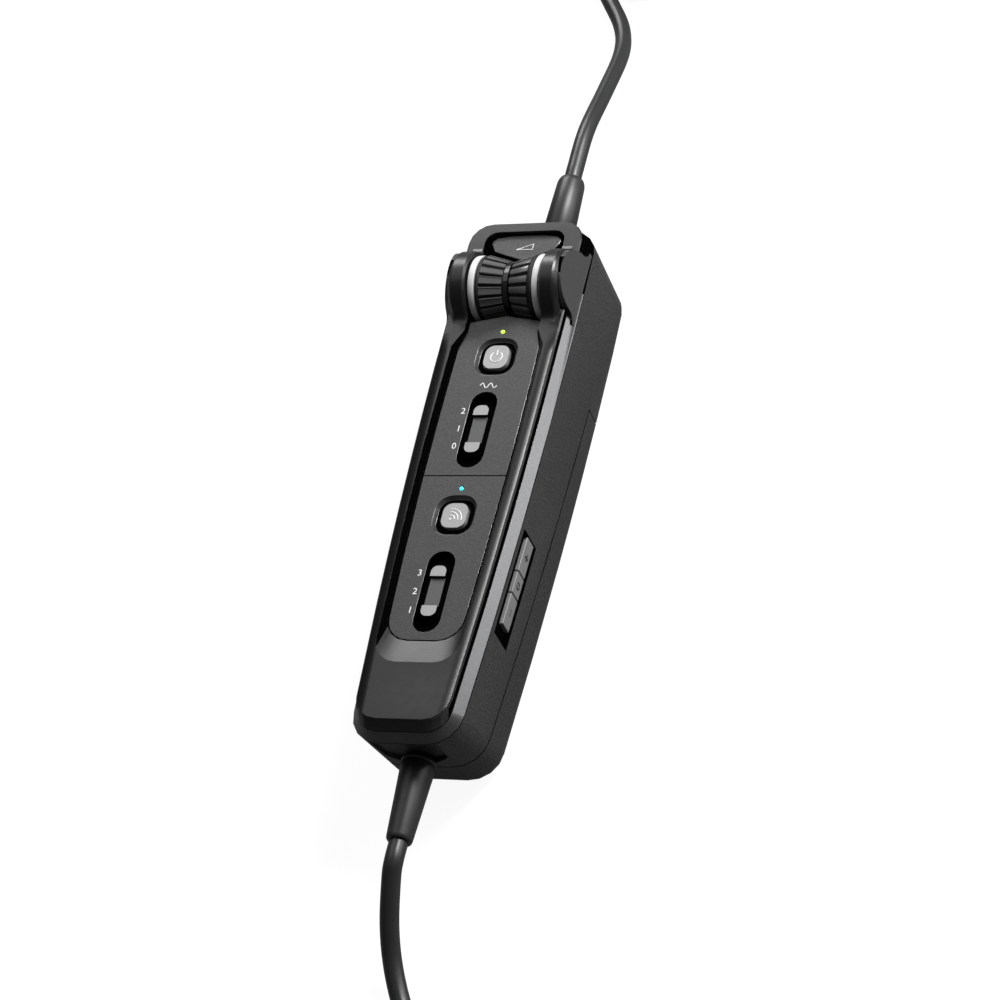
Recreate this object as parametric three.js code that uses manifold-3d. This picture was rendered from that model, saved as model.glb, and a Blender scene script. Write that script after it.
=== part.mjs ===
// In-line control module of an aviation headset, lying on its back with a cord at each end.
// Millimetres. +Z out of the front face, +Y along the module towards the volume wheels,
// +X towards the side keys. The back face lies on Z = 0.
import * as THREE from "three";
import { mergeVertices } from "three/addons/utils/BufferGeometryUtils.js";
import Module from "manifold-3d";

const wasm = await Module();
wasm.setup();

// ---- gaps and walls
const GAP = 0.3;
const WALL = 2.0;
const DOOR_WALL = 1.6;

// ---- places along the front face, outwards from the seam between the plates
const PLATE_SEAM_Y = -2.45;
const SEAM_TO_UPPER_SLOT = 13.75;
const SLOT_TO_POWER = 22.15;
const BUTTON_TO_LIGHT = 7.75;
const LIGHT_TO_PLATE_SIDE = 3.0;
const PLATE_PEAK = 1.8;
const PEAK_TO_WHEEL = 8.9;
const WHEEL_TO_TOP = 20.1;
const SEAM_TO_LOWER_LIGHT = 3.7;
const WIRELESS_TO_SLOT = 21.7;
const SLOT_TO_WINDOW_END = 13.8;
const WINDOW_SLOPE_RUN = 6.4;
const SLOPE_TO_COVER_END = 15.2;
const PARTING_RUN = 2.3;
const PARTING_TO_BOTTOM = 1.7;
const UPPER_SLOT_Y = PLATE_SEAM_Y + SEAM_TO_UPPER_SLOT;
const POWER_Y = UPPER_SLOT_Y + SLOT_TO_POWER;
const UPPER_LIGHT_Y = POWER_Y + BUTTON_TO_LIGHT;
const UPPER_PLATE_SIDE_Y = UPPER_LIGHT_Y + LIGHT_TO_PLATE_SIDE;
const UPPER_PLATE_PEAK_Y = UPPER_PLATE_SIDE_Y + PLATE_PEAK;
const WHEEL_Y = UPPER_PLATE_PEAK_Y + PEAK_TO_WHEEL;
const BODY_TOP = WHEEL_Y + WHEEL_TO_TOP;
const LOWER_LIGHT_Y = PLATE_SEAM_Y - SEAM_TO_LOWER_LIGHT;
const WIRELESS_Y = LOWER_LIGHT_Y - BUTTON_TO_LIGHT;
const LOWER_SLOT_Y = WIRELESS_Y - WIRELESS_TO_SLOT;
const WINDOW_BOTTOM = LOWER_SLOT_Y - SLOT_TO_WINDOW_END;
const CREST_WINDOW_BOTTOM = WINDOW_BOTTOM - WINDOW_SLOPE_RUN;
const COVER_END = CREST_WINDOW_BOTTOM - SLOPE_TO_COVER_END;
const COVER_PARTING = COVER_END - PARTING_RUN;
const BODY_BOTTOM = COVER_PARTING - PARTING_TO_BOTTOM;

// ---- body
const BODY_HALF_WIDTH = 17.75;
const WIDEST_Y = WHEEL_Y - 4.9;
const WAIST_RATE = 2.65e-4;
const CROWN_RATE = 6e-4;
const BACK_EDGE_RADIUS = 4.7;
const BOTTOM_CORNER = 8;
const TOP_CORNER = 6.6;
const BOTTOM_LEAN = 5.2;
const SEAM_Z = 29.1;
const BAND_TOP_Z = 31.6;
const BAND_INSET = 2.0;

// ---- front cover and plates
const CREST_Z = 33.9;
const PLATE_TOP_Z = 32.7;
const PLATE_THICKNESS = 1.6;
const PLATE_GAP = 0.35;
const RAIL_HALF_WIDTH = 16.9;
const RAIL_WIDEST_Y = 15;
const RAIL_RATE = 3.93e-4;
const RAIL_INSET = 4.3;
const WINDOW_INSET = 5.6;
const ARCH_BEAM = 2.7;
const ARCH_DEPTH = 8.3;
const WINDOW_TOP = BODY_TOP - ARCH_BEAM;
const ARCH_START = WINDOW_TOP - ARCH_DEPTH;
const ARCH_WIDER = 0.9;
const KNEE_TO_PLATE_SIDE = 3.2;
const KNEE_RUN = 5;
const KNEE_END = UPPER_PLATE_SIDE_Y - KNEE_TO_PLATE_SIDE;
const KNEE_START = KNEE_END - KNEE_RUN;

// ---- volume wheels
const WHEEL_Z = 32.24;
const WHEEL_RADIUS = 8.7;
const RING_INNER_X = 7.8;
const RING_OUTER_X = 9.55;
const TREAD_INNER_X = 0.95;
const TREAD_FLANGE_X = 6.6;
const TREAD_OUTER_X = RING_INNER_X - 0.25;
const TREAD_WAIST_RADIUS = 7.0;
const TREAD_RIM_RADIUS = 8.5;
const RIB_COUNT = 20;
const RIB_HEIGHT = 0.5;
const POT_RADIUS = 5.75;
const POT_INNER_X = 4.0;
const POT_SHAFT_RADIUS = 1.5;
const DIVIDER_HALF = 0.6;
const EAR_INNER_X = 10.0;
const WELL_HALF_X = EAR_INNER_X - 0.15;
const EAR_RADIUS = 9.9;
const EAR_FILLET = 3.0;
const LOBE_Y = WHEEL_Y + 1;
const LOBE_RADIUS = 8.7;
const LOBE_FILLET = 2.5;
const LOBE_INNER_X = 13.2;
const LOBE_FOOT_X = 17.45;
const LOBE_LEAN = 0.18;

// ---- controls on the plates
const BUTTON_WIDTH = 6.45;
const BUTTON_LENGTH = 7.0;
const BUTTON_CORNER = 2.3;
const BUTTON_TOP_Z = 32.55;
const BUTTON_TRAVEL = 0.6;
const DISH_WIDTH = 10.9;
const DISH_LENGTH = 11.5;
const DISH_CORNER = 4.1;
const DISH_DEPTH = 1.0;
const LIGHT_RADIUS = 0.55;
const SLOT_WIDTH = 7.1;
const SLOT_LENGTH = 22.75;
const SLIDER_WIDTH = 6.3;
const SLIDER_LENGTH = 16.0;
const TAB_WIDTH = 3.95;
const TAB_SPAN = 14.0;
const TAB_LENGTH = 2.9;

// ---- side keys
const KEY_LOW_Z = 19.8;
const KEY_HIGH_Z = 24.2;
const KEY_DEPTH = 2.39;
const KEY_BOARD_CLEARANCE = 0.7;
const KEY_BOARD_THICKNESS = 0.6;
const KEY_SINK = 0.1;
const PLUS_KEY = { from: -24.0, to: -14.6 };
const LINK_KEY = { from: -30.1, to: -24.3 };
const MINUS_KEY = { from: -39.0, to: -30.4 };
const KEY_RECESS = { from: -43.4, to: -14.3, low: 18.6, high: 27.5, depth: 0.9 };

// ---- inside
const BAY_ROOF_Z = 17.6;
const PARTITION_TOP_Z = 19.0;
const BAY_TOP = 33.7;
const DOOR_TOP = 36.0;
const DOOR_FLOOR = 1.8;
const DOOR_CORNER = 6.0;
const DOOR_SEAM_Z = 9.75;
const DOOR_SEAM_Y = 27;
const DOOR_SEAM_SLOPE = 0.036;
const CELL_RADIUS = 7.1;
const CELL_LENGTH = 50.5;
const BOARD_Z = 22.0;
const BOARD_THICKNESS = 1.6;
const BOARD_INSET = 4.4;
const BOARD_BOTTOM = BODY_BOTTOM + 18;
const BOARD_TOP = WHEEL_Y - 10.9;
const SCREW_HEAD_RADIUS = 2.2;
const SCREW_SHANK_RADIUS = 1.2;
const SCREW_HEAD_HEIGHT = 1.7;
const SCREW_TIP_Z = 28.6;
const TOP_SCREW = { x: BODY_HALF_WIDTH - 7.55, y: BODY_TOP - 7 };
const BOTTOM_SCREW = { x: BODY_HALF_WIDTH - 9.25, y: BODY_BOTTOM + 13 };

// ---- cords
const CORD_DIAMETER = 4.6;
const CORD_REST_Z = CORD_DIAMETER / 2 + 0.05;
const LOWER_PORT_Z = 17.6;
const UPPER_PORT_Z = 16.0;
const LOWER_BOOT_REACH = 19.4;
const UPPER_BOOT_REACH = 28.6;
const LOWER_BOOT_TIP = BODY_BOTTOM - LOWER_BOOT_REACH;
const UPPER_BOOT_TIP = BODY_TOP + UPPER_BOOT_REACH;
const HANK_PITCH = 5.6;
const HANK_LAYER = 5.15;
const HANK_RUN_X = 14.7;
const HANK_RADIUS = 15.9;
const HANK_TURNS = 1.625;
const HANK_SIDES = 6;
const HANK_STEPS = 32;
const WAIST_DRAW = 0.08;
const WAIST_RISE = 1.1;
const WAIST_REACH = 14;
const TIE_WIDTH = 7;
const TIE_THICKNESS = 0.6;

const object = new THREE.Group();
object.name = "headset_control_module";

// ---------------------------------------------------------------- solids
function solidOf(geometry) {
  const plain = geometry.clone();
  plain.deleteAttribute("normal");
  plain.deleteAttribute("uv");
  const merged = mergeVertices(plain, 1e-4);
  const points = merged.attributes.position.array;
  const corners = merged.index.array;
  const kept = [];
  let volume = 0;
  for (let i = 0; i < corners.length; i += 3) {
    const [a, b, c] = [corners[i], corners[i + 1], corners[i + 2]];
    if (a === b || b === c || c === a) {
      continue;
    }
    kept.push(a, b, c);
    const [p, q, r] = [a, b, c].map((k) => new THREE.Vector3().fromArray(points, k * 3));
    volume += p.dot(q.cross(r));
  }
  if (volume < 0) {
    kept.reverse();
  }
  return new wasm.Manifold(
    new wasm.Mesh({
      numProp: 3,
      vertProperties: new Float32Array(points),
      triVerts: new Uint32Array(kept),
    }),
  );
}

function geometryOf(solid) {
  const mesh = solid.getMesh();
  const geometry = new THREE.BufferGeometry();
  geometry.setAttribute("position", new THREE.BufferAttribute(new Float32Array(mesh.vertProperties), 3));
  geometry.setIndex(new THREE.BufferAttribute(new Uint32Array(mesh.triVerts), 1));
  const faceted = geometry.toNonIndexed();
  faceted.computeVertexNormals();
  return faceted;
}

function piece(name, solid, colour, roughness, metalness = 0) {
  const material = new THREE.MeshStandardMaterial({ color: colour, roughness, metalness });
  const mesh = new THREE.Mesh(geometryOf(solid), material);
  mesh.name = name;
  object.add(mesh);
}

// Skin through equal-count rings of points, capped at both ends.
function loft(rings, flatten = (p) => new THREE.Vector2(p[0], p[1])) {
  const count = rings[0].length;
  const positions = rings.flat(2);
  const triangles = [];
  for (let k = 0; k + 1 < rings.length; k += 1) {
    for (let i = 0; i < count; i += 1) {
      const a = k * count + i;
      const b = k * count + ((i + 1) % count);
      triangles.push(a, b, b + count, a, b + count, a + count);
    }
  }
  const last = (rings.length - 1) * count;
  for (const [ring, start, isEnd] of [[rings[0], 0, false], [rings[rings.length - 1], last, true]]) {
    const flat = ring.map(flatten);
    const flipped = THREE.ShapeUtils.isClockWise(flat) === isEnd;
    for (const [a, b, c] of THREE.ShapeUtils.triangulateShape(flat, [])) {
      triangles.push(start + (flipped ? c : a), start + b, start + (flipped ? a : c));
    }
  }
  const geometry = new THREE.BufferGeometry();
  geometry.setAttribute("position", new THREE.Float32BufferAttribute(positions, 3));
  geometry.setIndex(triangles);
  return solidOf(geometry);
}

function box(low, high) {
  const size = high.map((value, i) => value - low[i]);
  const geometry = new THREE.BoxGeometry(...size);
  geometry.translate(...high.map((value, i) => (value + low[i]) / 2));
  return solidOf(geometry);
}

// Solid of revolution about +Y, profile as [radius, height] pairs from axis to axis.
function turnedY(profile, segments = 24) {
  return new THREE.LatheGeometry(
    profile.map(([r, h]) => new THREE.Vector2(r, h)),
    segments,
  );
}

function turnedZ(profile, x, y, segments = 24) {
  return solidOf(turnedY(profile, segments).rotateX(Math.PI / 2).translate(x, y, 0));
}

// Solid of revolution about the X direction, heights measured along +X.
function turnedX(profile, y, z, segments = 24) {
  return solidOf(turnedY(profile, segments).rotateZ(-Math.PI / 2).translate(0, y, z));
}

function rod(radius, from, to) {
  return [
    [0, from],
    [radius, from],
    [radius, to],
    [0, to],
  ];
}

function mirrored(solid) {
  return solid.mirror([1, 0, 0]);
}

function bothSides(solid) {
  return solid.add(mirrored(solid));
}

function between(from, to, steps) {
  return Array.from({ length: steps + 1 }, (_, i) => from + ((to - from) * i) / steps);
}

function arc(cx, cy, radius, fromDegrees, toDegrees, steps) {
  return between(fromDegrees, toDegrees, steps).map((degrees) => {
    const angle = THREE.MathUtils.degToRad(degrees);
    return [cx + radius * Math.cos(angle), cy + radius * Math.sin(angle)];
  });
}

function roundedRing(width, length, radius, y, z, steps = 4) {
  const cx = width / 2 - radius;
  const cy = length / 2 - radius;
  const corners = [
    arc(cx, y - cy, radius, -90, 0, steps),
    arc(cx, y + cy, radius, 0, 90, steps),
    arc(-cx, y + cy, radius, 90, 180, steps),
    arc(-cx, y - cy, radius, 180, 270, steps),
  ];
  const tooClose = (p, q) => Math.hypot(p[0] - q[0], p[1] - q[1]) < 1e-3;
  const ring = corners.flat().filter((p, i, all) => !tooClose(p, all[(i + 1) % all.length]));
  return ring.map(([px, py]) => [px, py, z]);
}

function roundedBlock(width, length, radius, y, low, high) {
  return loft([roundedRing(width, length, radius, y, low), roundedRing(width, length, radius, y, high)]);
}

// ---------------------------------------------------------------- body outline
const halfWidthAt = (y) => BODY_HALF_WIDTH - (y < WIDEST_Y ? WAIST_RATE : CROWN_RATE) * (y - WIDEST_Y) ** 2;
const railHalfAt = (y) => RAIL_HALF_WIDTH - RAIL_RATE * (y - RAIL_WIDEST_Y) ** 2;
const keyInnerX = halfWidthAt((MINUS_KEY.from + PLUS_KEY.to) / 2) - KEY_DEPTH;
const beyondSide = BODY_HALF_WIDTH + 2;
const endWallAt = (z) => BODY_BOTTOM + BOTTOM_LEAN * (1 - z / SEAM_Z);
const doorSeamAt = (y) => DOOR_SEAM_Z - DOOR_SEAM_SLOPE * (y - DOOR_SEAM_Y);

function outline({ half, bottom, top, bottomRadius, topRadius, stations, z }) {
  const lowY = bottom + bottomRadius;
  const highY = top - topRadius;
  const sides = stations ?? between(lowY, highY, 10).slice(1, -1);
  const right = [
    ...arc(half(lowY) - bottomRadius, lowY, bottomRadius, -90, 0, 4),
    ...sides.map((y) => [half(y), y]),
    ...arc(half(highY) - topRadius, highY, topRadius, 0, 90, 4),
  ];
  const left = right.map(([x, y]) => [-x, y]).reverse();
  return [...right, ...left].map(([x, y]) => [x, y, z]);
}

function bodyRing(z, inset, { bottom, top = BODY_TOP - inset, topRadius, bottomRadius } = {}) {
  return outline({
    half: (y) => halfWidthAt(y) - inset,
    bottom: bottom ?? endWallAt(z) + inset,
    top,
    bottomRadius: bottomRadius ?? Math.max(BOTTOM_CORNER - inset, 2),
    topRadius: topRadius ?? Math.max(TOP_CORNER - inset, 1.3),
    z,
  });
}

const BACK_EDGE_ANGLES = between(0, Math.PI / 2, 4);

function bodyBlock(inset, highZ) {
  const rings = BACK_EDGE_ANGLES.map((angle) => {
    const z = BACK_EDGE_RADIUS * (1 - Math.cos(angle));
    return bodyRing(z, inset + BACK_EDGE_RADIUS * (1 - Math.sin(angle)));
  });
  return loft([...rings, bodyRing(highZ, inset)]);
}

// ---------------------------------------------------------------- rear housing and door
function doorRegion(grow) {
  const top = DOOR_TOP + grow;
  const plan = (z) => outline({
    half: (y) => halfWidthAt(y) + 1,
    bottom: BODY_BOTTOM - 5,
    top,
    bottomRadius: 1,
    topRadius: DOOR_CORNER,
    z,
  });
  const prism = loft([plan(-1), plan(SEAM_Z)]);
  const ends = [BODY_BOTTOM - 6, top + 1];
  const side = (x) => [
    [x, ends[0], -1],
    [x, ends[1], -1],
    [x, ends[1], doorSeamAt(ends[1]) + grow],
    [x, ends[0], doorSeamAt(ends[0]) + grow],
  ];
  const wedge = loft([side(-20), side(20)], (p) => new THREE.Vector2(p[1], p[2]));
  return prism.intersect(wedge);
}

const housingTop = SEAM_Z - GAP / 2;
const outer = bodyBlock(0, housingTop);
const doorInside = loft([
  bodyRing(DOOR_FLOOR, 4.0, { top: DOOR_TOP - DOOR_WALL, topRadius: 3 }),
  bodyRing(BACK_EDGE_RADIUS, DOOR_WALL, { top: DOOR_TOP - DOOR_WALL, topRadius: 5 }),
  bodyRing(SEAM_Z, DOOR_WALL, { top: DOOR_TOP - DOOR_WALL, topRadius: 5 }),
]);
piece("battery_door", outer.intersect(doorRegion(0)).subtract(doorInside), 0x2f3032, 0.72);

const bay = loft([
  bodyRing(1, DOOR_WALL, { top: BAY_TOP, topRadius: 2 }),
  bodyRing(BAY_ROOF_Z, DOOR_WALL, { top: BAY_TOP, topRadius: 2 }),
]);
const hall = loft([bodyRing(PARTITION_TOP_Z, WALL), bodyRing(SEAM_Z + 1, WALL)]);
const wellBottom = WHEEL_Y - 16.4;
const wheelWell = loft([
  bodyRing(2.2, 4.2, { bottom: wellBottom, bottomRadius: 2, topRadius: 3 }),
  bodyRing(5.2, WALL, { bottom: wellBottom, bottomRadius: 2, topRadius: 4 }),
  bodyRing(PARTITION_TOP_Z + 1, WALL, { bottom: wellBottom, bottomRadius: 2, topRadius: 4 }),
]);
const bulkheadY = BAY_TOP - GAP - 0.7 - GAP - CELL_LENGTH - GAP - 4.6 - GAP;
const bulkhead = box([-12, bulkheadY - 1.5, 6], [12, bulkheadY, BAY_ROOF_Z + 0.5]);
const column = turnedZ(rod(3.4, 0, PARTITION_TOP_Z), TOP_SCREW.x, TOP_SCREW.y, 20);
const boardPosts = bothSides(
  turnedZ(rod(1.6, PARTITION_TOP_Z - 0.5, BOARD_Z - GAP), 8, 26, 12)
    .add(turnedZ(rod(1.6, PARTITION_TOP_Z - 0.5, BOARD_Z - GAP), 8, -44, 12)),
);

function screwBores({ x, y }, fromZ) {
  const head = turnedZ(rod(SCREW_HEAD_RADIUS + GAP, fromZ, BAY_ROOF_Z), x, y, 20);
  const shank = turnedZ(rod(SCREW_SHANK_RADIUS + GAP, BAY_ROOF_Z - 1, PARTITION_TOP_Z + 3), x, y, 16);
  return bothSides(head.add(shank));
}

// Shield-shaped recess on the leaning end wall, its point at the door's seam.
function shieldRing(depth, shrink) {
  const corners = [
    [-8.9 + shrink, 28.6],
    [-8.2 + shrink, 19.5 + shrink / 2],
    [0, 13.9 + shrink],
    [8.2 - shrink, 19.5 + shrink / 2],
    [8.9 - shrink, 28.6],
  ];
  return corners.map(([x, z]) => [x, endWallAt(z) + depth, z]);
}
const shield = loft([shieldRing(-1.5, -0.6), shieldRing(1.1, 0.5)], (p) => new THREE.Vector2(-p[0], p[2]));

const keyRecess = box(
  [keyInnerX - KEY_DEPTH, KEY_RECESS.from, KEY_RECESS.low],
  [beyondSide, KEY_RECESS.to, KEY_RECESS.high],
).subtract(bodyBlock(KEY_RECESS.depth, SEAM_Z));
const keySlot = box(
  [keyInnerX - KEY_DEPTH, MINUS_KEY.from - GAP, KEY_LOW_Z - GAP],
  [beyondSide, PLUS_KEY.to + GAP, KEY_HIGH_Z + GAP],
);
const lowerRootBore = solidOf(
  turnedY(rod(3.5, BODY_BOTTOM - 5, BODY_BOTTOM + 15)).translate(0, 0, LOWER_PORT_Z),
);
const upperRootBore = solidOf(turnedY(rod(3.9, BODY_TOP - 5, BODY_TOP + 5)).translate(0, 0, UPPER_PORT_Z));
const lowerRootPocket = box(
  [-4.6, BODY_BOTTOM + 4.1, LOWER_PORT_Z - 4.6],
  [4.6, BODY_BOTTOM + 11.5, LOWER_PORT_Z + 4.9],
);
const fingerNotch = roundedBlock(8, 3.4, 1.2, 38.3, -1, 1.1);

const housing = outer
  .subtract(doorRegion(GAP))
  .subtract(bay)
  .subtract(hall)
  .subtract(wheelWell)
  .add(bulkhead)
  .add(bothSides(column).intersect(outer))
  .add(boardPosts)
  .subtract(screwBores(TOP_SCREW, -1))
  .subtract(screwBores(BOTTOM_SCREW, 10))
  .subtract(lowerRootPocket)
  .subtract(shield)
  .subtract(lowerRootBore)
  .subtract(upperRootBore)
  .subtract(keyRecess)
  .subtract(keySlot)
  .subtract(fingerNotch);
piece("rear_housing", housing, 0x333436, 0.7);

// ---------------------------------------------------------------- window through the cover
const kneeStations = [
  ...between(LOWER_SLOT_Y - 2.4, KNEE_START, 8),
  KNEE_END,
  KNEE_END + 2.2,
  WHEEL_Y - 2.9,
  ARCH_START,
  ARCH_START + 2,
];

function windowHalf(inset, earX) {
  return (y) => {
    const rail = railHalfAt(y) - inset;
    const settled = THREE.MathUtils.clamp((y - KNEE_START) / (KNEE_END - KNEE_START), 0, 1);
    const arch = THREE.MathUtils.clamp((y - ARCH_START) / 2, 0, 1) * ARCH_WIDER;
    return THREE.MathUtils.lerp(rail, earX, settled) + arch;
  };
}

function windowRing(z, inset, bottom, earX, grow = 0) {
  return outline({
    half: (y) => windowHalf(inset, earX)(y) + grow,
    bottom: bottom - grow,
    top: WINDOW_TOP + grow,
    bottomRadius: 6.2,
    topRadius: 3.2,
    stations: kneeStations,
    z,
  });
}

const plateBottomZ = PLATE_TOP_Z - PLATE_THICKNESS;
const slopeRate = (CREST_WINDOW_BOTTOM - WINDOW_BOTTOM) / (CREST_Z - PLATE_TOP_Z);
const above = 0.2;
const window = loft([
  windowRing(BAND_TOP_Z - 1, WINDOW_INSET, WINDOW_BOTTOM, WELL_HALF_X),
  windowRing(PLATE_TOP_Z, WINDOW_INSET, WINDOW_BOTTOM, WELL_HALF_X),
  windowRing(CREST_Z, RAIL_INSET, CREST_WINDOW_BOTTOM, EAR_INNER_X),
  windowRing(CREST_Z + above, RAIL_INSET, CREST_WINDOW_BOTTOM + slopeRate * above, EAR_INNER_X),
]);

// ---------------------------------------------------------------- front cover with its two ears
// A round arch seen along X, flowing into a level through a fillet on each side.
function archProfile({ x, y, radius, level, fillet, base, steps }) {
  const rise = level + fillet - WHEEL_Z;
  const run = Math.sqrt((radius + fillet) ** 2 - rise ** 2);
  const tangent = THREE.MathUtils.radToDeg(Math.atan2(rise, run));
  const right = arc(y + run, level + fillet, fillet, 270, 180 + tangent, 4);
  const crown = arc(y, WHEEL_Z, radius, tangent, 180 - tangent, steps).slice(1, -1);
  const left = right.map(([py, pz]) => [2 * y - py, pz]).reverse();
  const foot = [
    [y - run, base],
    [y + run, base],
  ];
  return [...foot, ...right, ...crown, ...left].map(([py, pz]) => [x, py, pz]);
}

const seenAlongX = (p) => new THREE.Vector2(p[1], p[2]);
const earProfile = (x, shrink) => archProfile({
  x,
  y: WHEEL_Y,
  radius: EAR_RADIUS - shrink,
  level: CREST_Z - shrink,
  fillet: EAR_FILLET,
  base: CREST_Z - 1.5,
  steps: 14,
});
const lobeProfile = (x, grow, base) => archProfile({
  x,
  y: LOBE_Y,
  radius: LOBE_RADIUS + grow,
  level: BAND_TOP_Z - 1 + grow,
  fillet: LOBE_FILLET - grow,
  base,
  steps: 20,
});

const coverBottomZ = BAND_TOP_Z + GAP;
const coverPlan = { top: BODY_TOP - 0.1, bottomRadius: 6, topRadius: 5.6 };
const coverRing = (z, inset, bottom) => bodyRing(z, inset, { ...coverPlan, bottom });
const ear = loft(
  [
    earProfile(EAR_INNER_X, 0.55),
    earProfile(EAR_INNER_X + 0.5, 0),
    earProfile(13.6, 0),
    earProfile(14.1, 0.3),
    earProfile(14.8, 1.1),
  ],
  seenAlongX,
);
const coverPrism = loft([
  coverRing(coverBottomZ, BAND_INSET, COVER_PARTING),
  coverRing(CREST_Z + 12, BAND_INSET, COVER_PARTING),
]);
const lobeCut = loft([lobeProfile(LOBE_INNER_X - GAP, GAP, 20), lobeProfile(20, GAP, 20)], seenAlongX);
const cover = loft([
  coverRing(coverBottomZ, BAND_INSET, COVER_PARTING),
  coverRing(CREST_Z - 0.4, BAND_INSET, COVER_END - 0.4),
  coverRing(CREST_Z, BAND_INSET + 0.35, COVER_END),
])
  .add(bothSides(ear).intersect(coverPrism))
  .subtract(window)
  .subtract(bothSides(lobeCut));
piece("front_cover", cover, 0x3e3f41, 0.42);

// ---------------------------------------------------------------- front shell with the deck
const deckTopZ = plateBottomZ - GAP;
const shellBottomZ = SEAM_Z + GAP / 2;
const lobeFaceAt = (z) => LOBE_FOOT_X - LOBE_LEAN * (z - shellBottomZ);
const lobeWedge = (y) => [
  [0, y, shellBottomZ],
  [lobeFaceAt(shellBottomZ), y, shellBottomZ],
  [lobeFaceAt(50), y, 50],
  [0, y, 50],
];
const lobe = loft([lobeProfile(LOBE_INNER_X, 0, shellBottomZ), lobeProfile(19, 0, shellBottomZ)], seenAlongX)
  .intersect(loft([lobeWedge(80), lobeWedge(30)], (p) => new THREE.Vector2(p[0], p[2])));
const platePocket = loft([
  windowRing(deckTopZ, WINDOW_INSET, WINDOW_BOTTOM, WELL_HALF_X),
  windowRing(BAND_TOP_Z + 1, WINDOW_INSET, WINDOW_BOTTOM, WELL_HALF_X),
]);
const wheelHalf = WHEEL_RADIUS + 0.5;
const wheelOpening = box(
  [-EAR_INNER_X + 0.1, WHEEL_Y - wheelHalf, 20],
  [EAR_INNER_X - 0.1, WHEEL_Y + wheelHalf, 40],
);
const buttonHole = (y) => roundedBlock(
  BUTTON_WIDTH + 2 * GAP, BUTTON_LENGTH + 2 * GAP, BUTTON_CORNER + GAP, y, 20, 40,
);
const lightHole = (y) => turnedZ(rod(LIGHT_RADIUS + 0.2, 20, 40), 0, y, 12);
const stemLength = 4.0;
const sliderTravel = 3.3;
const stemHole = (y) => box(
  [-1.2 - GAP, y - stemLength / 2 - sliderTravel - GAP, 20],
  [1.2 + GAP, y + stemLength / 2 + sliderTravel + GAP, 40],
);
const boss = ({ x, y }) => turnedZ(rod(3.0, PARTITION_TOP_Z + GAP, shellBottomZ + 0.5), x, y, 20);
const bossBore = ({ x, y }) => turnedZ(
  rod(SCREW_SHANK_RADIUS + GAP, PARTITION_TOP_Z, SCREW_TIP_Z + GAP), x, y, 16,
);

const shell = loft([
  bodyRing(shellBottomZ, 0.05, { bottom: BODY_BOTTOM, top: BODY_TOP - 0.02 }),
  coverRing(BAND_TOP_Z, BAND_INSET, COVER_PARTING),
])
  .add(bothSides(lobe))
  .add(bothSides(boss(TOP_SCREW).add(boss(BOTTOM_SCREW))))
  .subtract(platePocket)
  .subtract(wheelOpening)
  .subtract(buttonHole(POWER_Y))
  .subtract(buttonHole(WIRELESS_Y))
  .subtract(lightHole(UPPER_LIGHT_Y))
  .subtract(lightHole(LOWER_LIGHT_Y))
  .subtract(stemHole(UPPER_SLOT_Y))
  .subtract(stemHole(LOWER_SLOT_Y))
  .subtract(bothSides(bossBore(TOP_SCREW).add(bossBore(BOTTOM_SCREW))));
piece("front_shell", shell, 0x8f9193, 0.36, 0.25);

// ---------------------------------------------------------------- plates
const plateHalf = (y) => windowHalf(WINDOW_INSET, WELL_HALF_X)(y) - PLATE_GAP;
const plateEdge = (from, to) => [
  ...between(from, Math.min(to, KNEE_START), 5).map((y) => [plateHalf(y), y]),
  ...(to > KNEE_START ? [[plateHalf(KNEE_END), KNEE_END], [plateHalf(to), to]] : []),
];

function plateBlock(right) {
  const left = right.filter(([x]) => x > 0).map(([x, y]) => [-x, y]).reverse();
  const ring = (z) => [...right, ...left].map(([x, y]) => [x, y, z]);
  return loft([ring(plateBottomZ), ring(PLATE_TOP_Z)]);
}

const dish = (y) => loft([
  roundedRing(DISH_WIDTH - 1.4, DISH_LENGTH - 1.4, DISH_CORNER - 0.7, y, PLATE_TOP_Z - DISH_DEPTH, 5),
  roundedRing(DISH_WIDTH + 0.2, DISH_LENGTH + 0.2, DISH_CORNER + 0.1, y, PLATE_TOP_Z + 0.15, 5),
]);
const slot = (y) => roundedBlock(SLOT_WIDTH, SLOT_LENGTH, SLOT_WIDTH / 2, y, 20, 40);

const upperEdge = [
  ...plateEdge(PLATE_SEAM_Y + GAP / 2, UPPER_PLATE_SIDE_Y),
  [0, UPPER_PLATE_PEAK_Y],
];
const upperPlate = plateBlock(upperEdge)
  .subtract(dish(POWER_Y))
  .subtract(buttonHole(POWER_Y))
  .subtract(slot(UPPER_SLOT_Y))
  .subtract(lightHole(UPPER_LIGHT_Y));
piece("upper_plate", upperPlate, 0x57585a, 0.5, 0.1);

const lowerPlateBottom = WINDOW_BOTTOM + PLATE_GAP;
const lowerCorner = 6.0;
const cornerY = lowerPlateBottom + lowerCorner;
const lowerEdge = [
  ...arc(plateHalf(cornerY) - lowerCorner, cornerY, lowerCorner, -90, 0, 5),
  ...plateEdge(cornerY + 2, PLATE_SEAM_Y - GAP / 2),
];
const lowerPlate = plateBlock(lowerEdge)
  .subtract(dish(WIRELESS_Y))
  .subtract(buttonHole(WIRELESS_Y))
  .subtract(slot(LOWER_SLOT_Y))
  .subtract(lightHole(LOWER_LIGHT_Y));
piece("lower_plate", lowerPlate, 0x57585a, 0.5, 0.1);

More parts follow.
